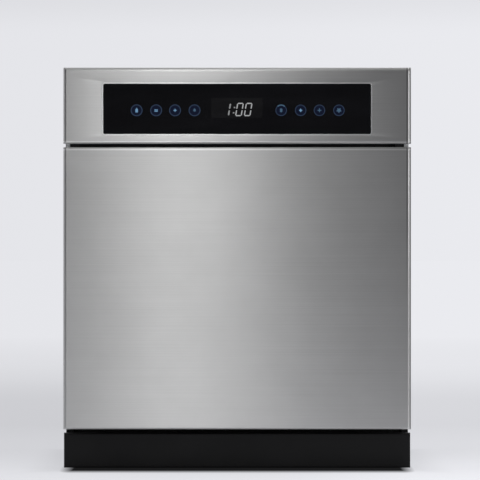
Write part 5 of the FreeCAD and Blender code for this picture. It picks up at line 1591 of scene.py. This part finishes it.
class DISHWASHER_OT_door_inside(Operator):
    """Builds the pressed inner door with its wheel tracks, dispenser, flap, cap and screws"""

    bl_idname = "dishwasher.door_inside"
    bl_label = "Inner door"

    def execute(self, context):
        face = -233.0
        pads = [(-232, 232, 412, 548, -3.0, 10.0), (-232, 232, 172, 300, -3.0, 10.0),
                (-200, -120, 330, 380, -2.0, 8.0), (120, 200, 330, 380, -2.0, 8.0)]
        holes = [(-95.3, 95.3, 315.7, 392.3), (-10, 10, 675.5, 685)]
        shape = pan((-283, 283, 112, 690), "front", face, 1, 4.0, 31.7, pads, holes)
        sheeted(put("inner_pan", shape, "door", "tub_steel", ("door_liner",),
                    outward=ALONG_Y), 0.9)
        put("wheel_tracks", both(track(241, 250)), "door", "tub_steel", ("door_liner",))
        softened("dispenser_body", SLOTS["dispenser_body"], 1.2, 3)
        y0, y1 = -230.7, -228.2
        lid = soft_block((-84, y0, 325.3), (-6, y1, 384), 1.1, 3)
        ribs = [soft_block((x - 0.8, y1 - 0.4, 334), (x + 0.8, y1 + 0.5, 376), 0.4, 1)
                for x in np.arange(-76.0, -13.0, 6.0)]
        barrel = wire([(-84, -229.45, 325.25), (-45, -229.45, 325.25), (-6, -229.45, 325.25)], 1.25,
                      ALONG_Z, 12)
        tab = soft_block((-30, y1 - 0.3, 377), (-14, y1 + 1.4, 383.4), 0.8, 3)
        put("powder_lid", joined([lid, barrel, tab] + ribs), HOME["dispenser_flap"],
            SLOTS["dispenser_flap"], ("dispenser_flap",))
        centre = (48.0, 0, 354.0)
        cap = lobed([(0, -239, 0), (13, -239, 0), (13, -230.9, 0), (19.8, -230.9, 0.01),
                     (19.8, -229.2, 0.01), (18.6, -228.0, 0), (15.5, -228.0, 0), (14.8, -228.6, 0),
                     (0, -228.6, 0)], centre, "y", 24, 96)
        blade = soft_block((45, -229, 338), (51, -224, 370), 1.8, 3)
        put("rinse_knob", joined([cap, blade]), HOME["rinse_cap"], SLOTS["rinse_cap"],
            ("rinse_cap",))
        heads = []
        for z in np.linspace(142, 665, 5):
            heads.append(lobed([(0, face - 0.2, 0), (2.6, face - 0.2, 0), (2.6, face + 0.5, 0),
                                (2.1, face + 1.1, 0), (1.3, face + 1.4, 0),
                                (0.95, face + 1.35, 0.14), (0.8, face + 0.7, 0.14),
                                (0, face + 0.7, 0)], (279.8, 0, z), "y", 6, 24))
        put("liner_screws", both(joined(heads)), "door", SLOTS["door_screws"],
            ("door_screws",))
        return {"FINISHED"}


class DISHWASHER_OT_cabinet(Operator):
    """Builds the pressed cabinet sheets, feet, springs and screws"""

    bl_idname = "dishwasher.cabinet"
    bl_label = "Cabinet"

    def execute(self, context):
        pads = [(-148, 238, 190, 640, -2.0, 9.0), (-120, 210, 225, 300, 1.6, 7.0),
                (-120, 210, 378, 453, 1.6, 7.0), (-120, 210, 530, 605, 1.6, 7.0)]
        corner = (-240, -210, 0, 110)
        for name, out in (("side_right", 1), ("side_left", -1)):
            shape = pan((-228, 284, 14, 688), "side", out * 294.0, out, 0.0, 0.0, pads, (corner,))
            sheeted(put(name, shape, "cabinet", "zinc_steel", ("side_panels",),
                        outward=(out, 0, 0)), 0.9)
        flange = soft_block((282.3, -228, 153), (293.4, -227, 688), 0.4, 1)
        put("side_flanges", both(flange), "cabinet", "zinc_steel", ("side_panels",))
        rib = [(x0, x0 + 20, -132, 158, 1.5, 5.0) for x0 in (-110, 90)]
        holes = [(s * 190 - 2.9, s * 190 + 2.9, -218.9, -213.1) for s in (-1, 1)]
        lid = pan((-294, 294, -228, 284), "flat", 689.0, 1, 0.8, 0.0, rib, holes)
        sheeted(put("lid", lid, "cabinet", "zinc_steel", ("top_panel",), outward=ALONG_Z), 0.9)
        pads = [(-250, 250, 150, 650, -1.6, 9.0), (-215, -60, 190, 610, 1.2, 7.0),
                (60, 215, 190, 610, 1.2, 7.0)]
        back = pan((-294, 294, 114, 689), "front", 285.0, 1, 0.8, 0.0, pads)
        sheeted(put("back_sheet", back, "cabinet", "zinc_steel", ("rear_panel",),
                    outward=ALONG_Y), 0.9)
        coil = helix((270, -165, 76), 130, 6.7, 1.2, 42)
        posts = [soft_block((261, y, 17), (279, y + 6, 85), 1.2) for y in (-171, -35)]
        put("spring_coils", both(coil), "cabinet", "zinc_steel", ("door_springs",))
        put("spring_posts", both(joined(posts)), "cabinet", "zinc_steel", ("door_springs",))
        heads = []
        for z in (54.0, 351.5, 659.0):
            for y in (-155.0, 260.0):
                heads.append(lobed([(0, 293.8, 0), (4, 293.8, 0), (4, 294.5, 0), (3.3, 295.2, 0),
                                    (2.2, 295.6, 0), (1.5, 295.6, 0.14), (1.3, 294.7, 0.14),
                                    (0, 294.7, 0)], (0, y, z), "x", 6, 24))
        put("side_screws", both(joined(heads)), "cabinet", "zinc_steel", ("cabinet_screws",))
        for node in ("foot_front_left", "foot_front_right", "foot_rear_left", "foot_rear_right"):
            low, high = span(node)
            x, y = (low[:2] + high[:2]) / 2
            turns = np.arange(8.6, 18.0, 0.75)
            thread = [(5.0 if k % 2 else 4.4, z) for k, z in enumerate(turns)]
            shape = lobed([(0, 0, 0), (18.6, 0, 0), (20, 1.2, 0), (20, 5.2, 0), (19, 6.4, 0),
                           (10, 8.0, 0), (9.2, 8.0, 0.05), (6.0, 8.1, 0)]
                          + [(r, z, 0) for r, z in thread] + [(5, 57, 0), (0, 57, 0)],
                          (x, y, 0), "z", 6, 36)
            put("levelling_" + node, shape, HOME[node], SLOTS[node], (node,))
        return {"FINISHED"}


SOFT = {
    "base_tray": 1.2, "console_housing": 0.8, "control_board": 0.3,
    "door_insulation": 3.0, "drain_impeller": 0.4, "drain_outlet": 0.8,
    "drain_pump_housing": 1.2, "fixing_brackets": 0.35, "hinge_arms": 0.5,
    "hinge_brackets": 0.5, "latch_cam": 0.4, "latch_strike": 0.4, "power_inlet": 0.8,
    "rail_middles": 0.3, "softener_tank": 2.0, "upper_rails": 0.3, "wash_impeller": 0.4,
    "wash_pump_housing": 1.5, "water_inlet_valve": 1.0,
}


class DISHWASHER_OT_inner_parts(Operator):
    """Rounds the edges of the plain moulded and folded parts inside"""

    bl_idname = "dishwasher.inner_parts"
    bl_label = "Inner parts"

    def execute(self, context):
        for node, width in SOFT.items():
            if node in frame["nodes"]:
                softened(node, SLOTS[node], width)
        return {"FINISHED"}


# Stage


def lamp(name, place, aim, size, power):
    """A soft rectangular lamp at a place in metres, turned to its aim."""
    data = bpy.data.lights.new(name, "AREA")
    data.shape = "RECTANGLE"
    data.size, data.size_y = size
    data.energy = power
    light = bpy.data.objects.new(name, data)
    light.location = place
    run = np.subtract(aim, place)
    run /= np.linalg.norm(run)
    light.rotation_euler = (math.acos(-run[2]), 0, math.atan2(run[0], -run[1]) + math.pi)
    light.visible_camera = False
    bpy.context.scene.collection.objects.link(light)


def ray_kinds(tree):
    """Two switches, 1 or 0: for rays from the camera, gloss or glass, and for gloss alone."""
    rays = node_in(tree, "ShaderNodeLightPath").outputs
    direct = combined(tree, "MAXIMUM", rays["Is Camera Ray"], rays["Is Glossy Ray"])
    seen = combined(tree, "MAXIMUM", direct, rays["Is Transmission Ray"])
    return seen, rays["Is Glossy Ray"]


DARK_ROOM = (0.062, 0.062, 0.066, 1)
FILL_LIGHT = (0.62, 0.62, 0.64, 1)


def build_world(pale):
    """A pale room all round, dim on the side where the camera stands, as gloss sees it."""
    world = bpy.data.worlds.new("Studio")
    bpy.context.scene.world = world
    world.use_nodes = True
    tree = world.node_tree
    tree.nodes.clear()
    x, y, z = axes(tree, node_in(tree, "ShaderNodeTexCoord").outputs["Generated"])
    seen, glossy = ray_kinds(tree)
    reach = combined(tree, "MAXIMUM",
                     combined(tree, "MULTIPLY", combined(tree, "ABSOLUTE", x), 0.65),
                     combined(tree, "MULTIPLY", x, 0.9))
    ahead = spread(tree, combined(tree, "SUBTRACT", y, reach), 1.0, 0.0, -0.55, -0.05, SMOOTH)
    dark = combined(tree, "MAXIMUM", ahead, spread(tree, z, 0.0, 0.9, 0.25, 0.70, SMOOTH))
    tone = combined(tree, "MULTIPLY", spread(tree, x, 0.975, 1.025, -0.09, 0.09, SMOOTH),
                    spread(tree, z, 1.0, 0.925, 0.058, 0.071, SMOOTH))
    room = mixed(tree, "MIX", combined(tree, "MULTIPLY", dark, glossy),
                 mixed(tree, "MULTIPLY", 1.0, (*pale, 1), tone), DARK_ROOM)
    fill = node_in(tree, "ShaderNodeBackground", {"Color": FILL_LIGHT, "Strength": 0.75})
    shown_room = node_in(tree, "ShaderNodeBackground", {"Color": room, "Strength": 1.0})
    mix = node_in(tree, "ShaderNodeMixShader", {
        0: seen, 1: fill.outputs["Background"], 2: shown_room.outputs["Background"]})
    node_in(tree, "ShaderNodeOutputWorld", {"Surface": mix.outputs["Shader"]})


# Tone of the floor over the share of the way from 0.8 m before the dishwasher to 8 m behind it,
# with painted shade darkest about 1.2 m behind its middle
FLOOR_SPAN = (-0.8, 8.0)
FLOOR_TONES = ((0.0, 1.0), (0.057, 1.0), (0.075, 0.985), (0.091, 0.95), (0.125, 0.875),
               (0.227, 0.81), (0.364, 0.825), (0.5, 0.89), (0.943, 0.985), (1.0, 1.0))
# Contact shadow in metres from the middle: it clears between its inner and its outer edge
SHADOW_INNER = 0.283
SHADOW_OUTER = 0.306
SHADOW_FRONT = 0.355
DIM_FLOOR = (0.10, 0.10, 0.105, 1)


def floor_finish(pale):
    """A pale floor that keeps shadows and runs into the backdrop's tone farther off.

    Its tone follows the distance behind the front, with a painted shade band that is darkest
    about 1.2 m behind the middle, and is nearly black under the dishwasher as its painted
    contact shadow. A soft painted shade darkens it close round the dishwasher, and painted light
    makes it lighter towards the right and in front. Where the floor is seen, 0.72 of its light
    is its own near the dishwasher and all of it from 5 m away. Gloss sees the floor in front of
    the dishwasher dim, as in a dark room behind the camera.
    """
    material = bpy.data.materials.new("Studio floor")
    material.use_nodes = True
    tree = material.node_tree
    tree.nodes.clear()
    place = own_place(tree)
    x, y, z = axes(tree, place)
    across, along = combined(tree, "ABSOLUTE", x), combined(tree, "ABSOLUTE", y)
    own = spread(tree, length_of(tree, place), 0.72, 1.0, 1.0, 5.0, SMOOTH)
    past = node_in(tree, "ShaderNodeCombineXYZ", {
        "X": spread(tree, across, 0.0, 1.0, SHADOW_INNER, SHADOW_OUTER),
        "Y": combined(tree, "MAXIMUM",
                      spread(tree, y, 0.0, 1.0, -SHADOW_INNER, -SHADOW_FRONT),
                      spread(tree, y, 0.0, 1.0, SHADOW_INNER, SHADOW_OUTER))})
    contact = spread(tree, length_of(tree, past.outputs["Vector"]), 0.02, 1.0, 0.0, 1.0)
    # painted shade: the floor darker close round the dishwasher
    painted_side_shade = combined(tree, "MAXIMUM", spread(tree, across, 0.91, 1.0, 0.30, 0.38, SMOOTH),
                      spread(tree, along, 0.91, 1.0, 0.26, 0.36, SMOOTH))
    # painted light: the floor up to 6.5 % lighter to the right, fading out from 2.5 to 7.5 m behind
    right = combined(tree, "MULTIPLY", spread(tree, x, 0.0, 0.065, 0.0, 0.33, SMOOTH),
                     spread(tree, y, 1.0, 0.0, 2.5, 7.5, SMOOTH))
    level = toned(tree, spread(tree, y, 0.0, 1.0, *FLOOR_SPAN), FLOOR_TONES)
    # painted light towards the right and in front, painted contact shadow and painted shade round
    # the dishwasher
    for share in (spread(tree, x, 0.985, 1.03, -0.5, 0.5, SMOOTH), contact, painted_side_shade,
                  combined(tree, "ADD", right, 1.0),
                  spread(tree, y, 1.035, 1.0, -0.5, -0.2, SMOOTH)):
        level = combined(tree, "MULTIPLY", level, share)
    seen, glossy = ray_kinds(tree)
    before = combined(tree, "SUBTRACT", y, combined(tree, "MAXIMUM", x, 0.0))
    in_front = spread(tree, before, 1.0, 0.0, -1.6, -0.7, SMOOTH)
    colour = mixed(tree, "MIX", combined(tree, "MULTIPLY", in_front, glossy),
                   mixed(tree, "MULTIPLY", 1.0, (*pale, 1), level), DIM_FLOOR)
    matte = node_in(tree, "ShaderNodeBsdfDiffuse", {"Color": colour})
    glow = node_in(tree, "ShaderNodeEmission", {"Color": colour, "Strength": 1.0})
    mix = node_in(tree, "ShaderNodeMixShader", {
        0: combined(tree, "MULTIPLY", own, seen), 1: matte.outputs["BSDF"],
        2: glow.outputs["Emission"]})
    node_in(tree, "ShaderNodeOutputMaterial", {"Surface": mix.outputs["Shader"]})
    return material


class DISHWASHER_OT_stage(Operator):
    """Sets up the floor, the backdrop's tone, the lamps and the camera"""

    bl_idname = "dishwasher.stage"
    bl_label = "Stage"

    def execute(self, context):
        stage = context.scene.dishwasher_stage
        pale = tuple(stage.pale)
        mesh = bpy.data.meshes.new("studio_floor")
        reach = 60.0
        mesh.from_pydata([(-reach, -reach, 0), (reach, -reach, 0), (reach, reach, 0),
                          (-reach, reach, 0)], [], [(0, 1, 2, 3)])
        floor = bpy.data.objects.new("studio_floor", mesh)
        context.scene.collection.objects.link(floor)
        mesh.materials.append(floor_finish(pale))
        build_world(pale)
        power = stage.lamp_power
        front = cad_box[0][1]
        lamp("Streak lamp", (-0.135, front - 2.0, 1.95), (-0.10, front, 0.6), (0.16, 1.8),
             6.85 * power)
        lamp("Low streak lamp", (-0.135, front - 2.0, 0.30), (-0.10, front, 0.25), (0.16, 0.36),
             1.2 * power)
        lamp("Top lamp", (0.0, 0.3, 3.0), (0.0, 0.0, 0.6), (3.0, 3.0), 13)
        lamp("Edge lamp", (1.04, front - 0.82, 0.56), (0.3, front, 0.56), (0.74, 0.95), 3.5)
        lamp("Left lamp", (-2.3, 0.2, 2.2), (0.0, 0.0, 0.4), (1.2, 1.6), 13)
        lamp("Right lamp", (2.3, 0.4, 2.2), (0.0, 0.0, 0.4), (1.2, 1.6), 9)
        lamp("Rear lamp", (0.3, 2.4, 2.4), (0.0, 0.0, 0.4), (1.6, 1.4), 12)
        data = bpy.data.cameras.new("Camera")
        data.sensor_width = 36.0
        data.lens = 36.0 * stage.distance / stage.frame_width
        data.clip_end = 200.0
        camera = bpy.data.objects.new("Camera", data)
        camera.location = (stage.aim_x, front - stage.distance, stage.aim_z)
        camera.rotation_euler = (math.pi / 2, 0, 0)
        context.scene.collection.objects.link(camera)
        context.scene.camera = camera
        context.scene.view_settings.view_transform = "Standard"
        return {"FINISHED"}


STEPS = (
    DISHWASHER_OT_stage,
    DISHWASHER_OT_door_panel,
    DISHWASHER_OT_console,
    DISHWASHER_OT_touch_keys,
    DISHWASHER_OT_display,
    DISHWASHER_OT_plinth,
    DISHWASHER_OT_upper_rack,
    DISHWASHER_OT_lower_rack,
    DISHWASHER_OT_basket,
    DISHWASHER_OT_cup_shelves,
    DISHWASHER_OT_spray,
    DISHWASHER_OT_sump,
    DISHWASHER_OT_tub,
    DISHWASHER_OT_door_inside,
    DISHWASHER_OT_cabinet,
    DISHWASHER_OT_inner_parts,
)


class DISHWASHER_PT_pieces(Panel):
    """Lists the settings and one button for each piece"""

    bl_idname = "DISHWASHER_PT_pieces"
    bl_label = "Dishwasher"
    bl_space_type = "VIEW_3D"
    bl_region_type = "UI"
    bl_category = "Dishwasher"

    def draw(self, context):
        column = self.layout.column()
        for group in (context.scene.dishwasher_front, context.scene.dishwasher_stage):
            for name in group.bl_rna.properties.keys():
                if name not in ("rna_type", "name"):
                    column.prop(group, name)
        for step in STEPS:
            column.operator(step.bl_idname)


SETTINGS = {"dishwasher_front": FrontSettings, "dishwasher_stage": StageSettings}


def register():
    for group in SETTINGS.values():
        bpy.utils.register_class(group)
    for step in STEPS + (DISHWASHER_PT_pieces,):
        bpy.utils.register_class(step)
    for name, group in SETTINGS.items():
        setattr(bpy.types.Scene, name, PointerProperty(type=group))


def unregister():
    for name in SETTINGS:
        delattr(bpy.types.Scene, name)
    for step in (DISHWASHER_PT_pieces,) + STEPS[::-1]:
        bpy.utils.unregister_class(step)
    for group in SETTINGS.values():
        bpy.utils.unregister_class(group)


def main():
    register()
    for step in STEPS:
        area, name = step.bl_idname.split(".")
        getattr(getattr(bpy.ops, area), name)()


if __name__ == "__main__":
    main()
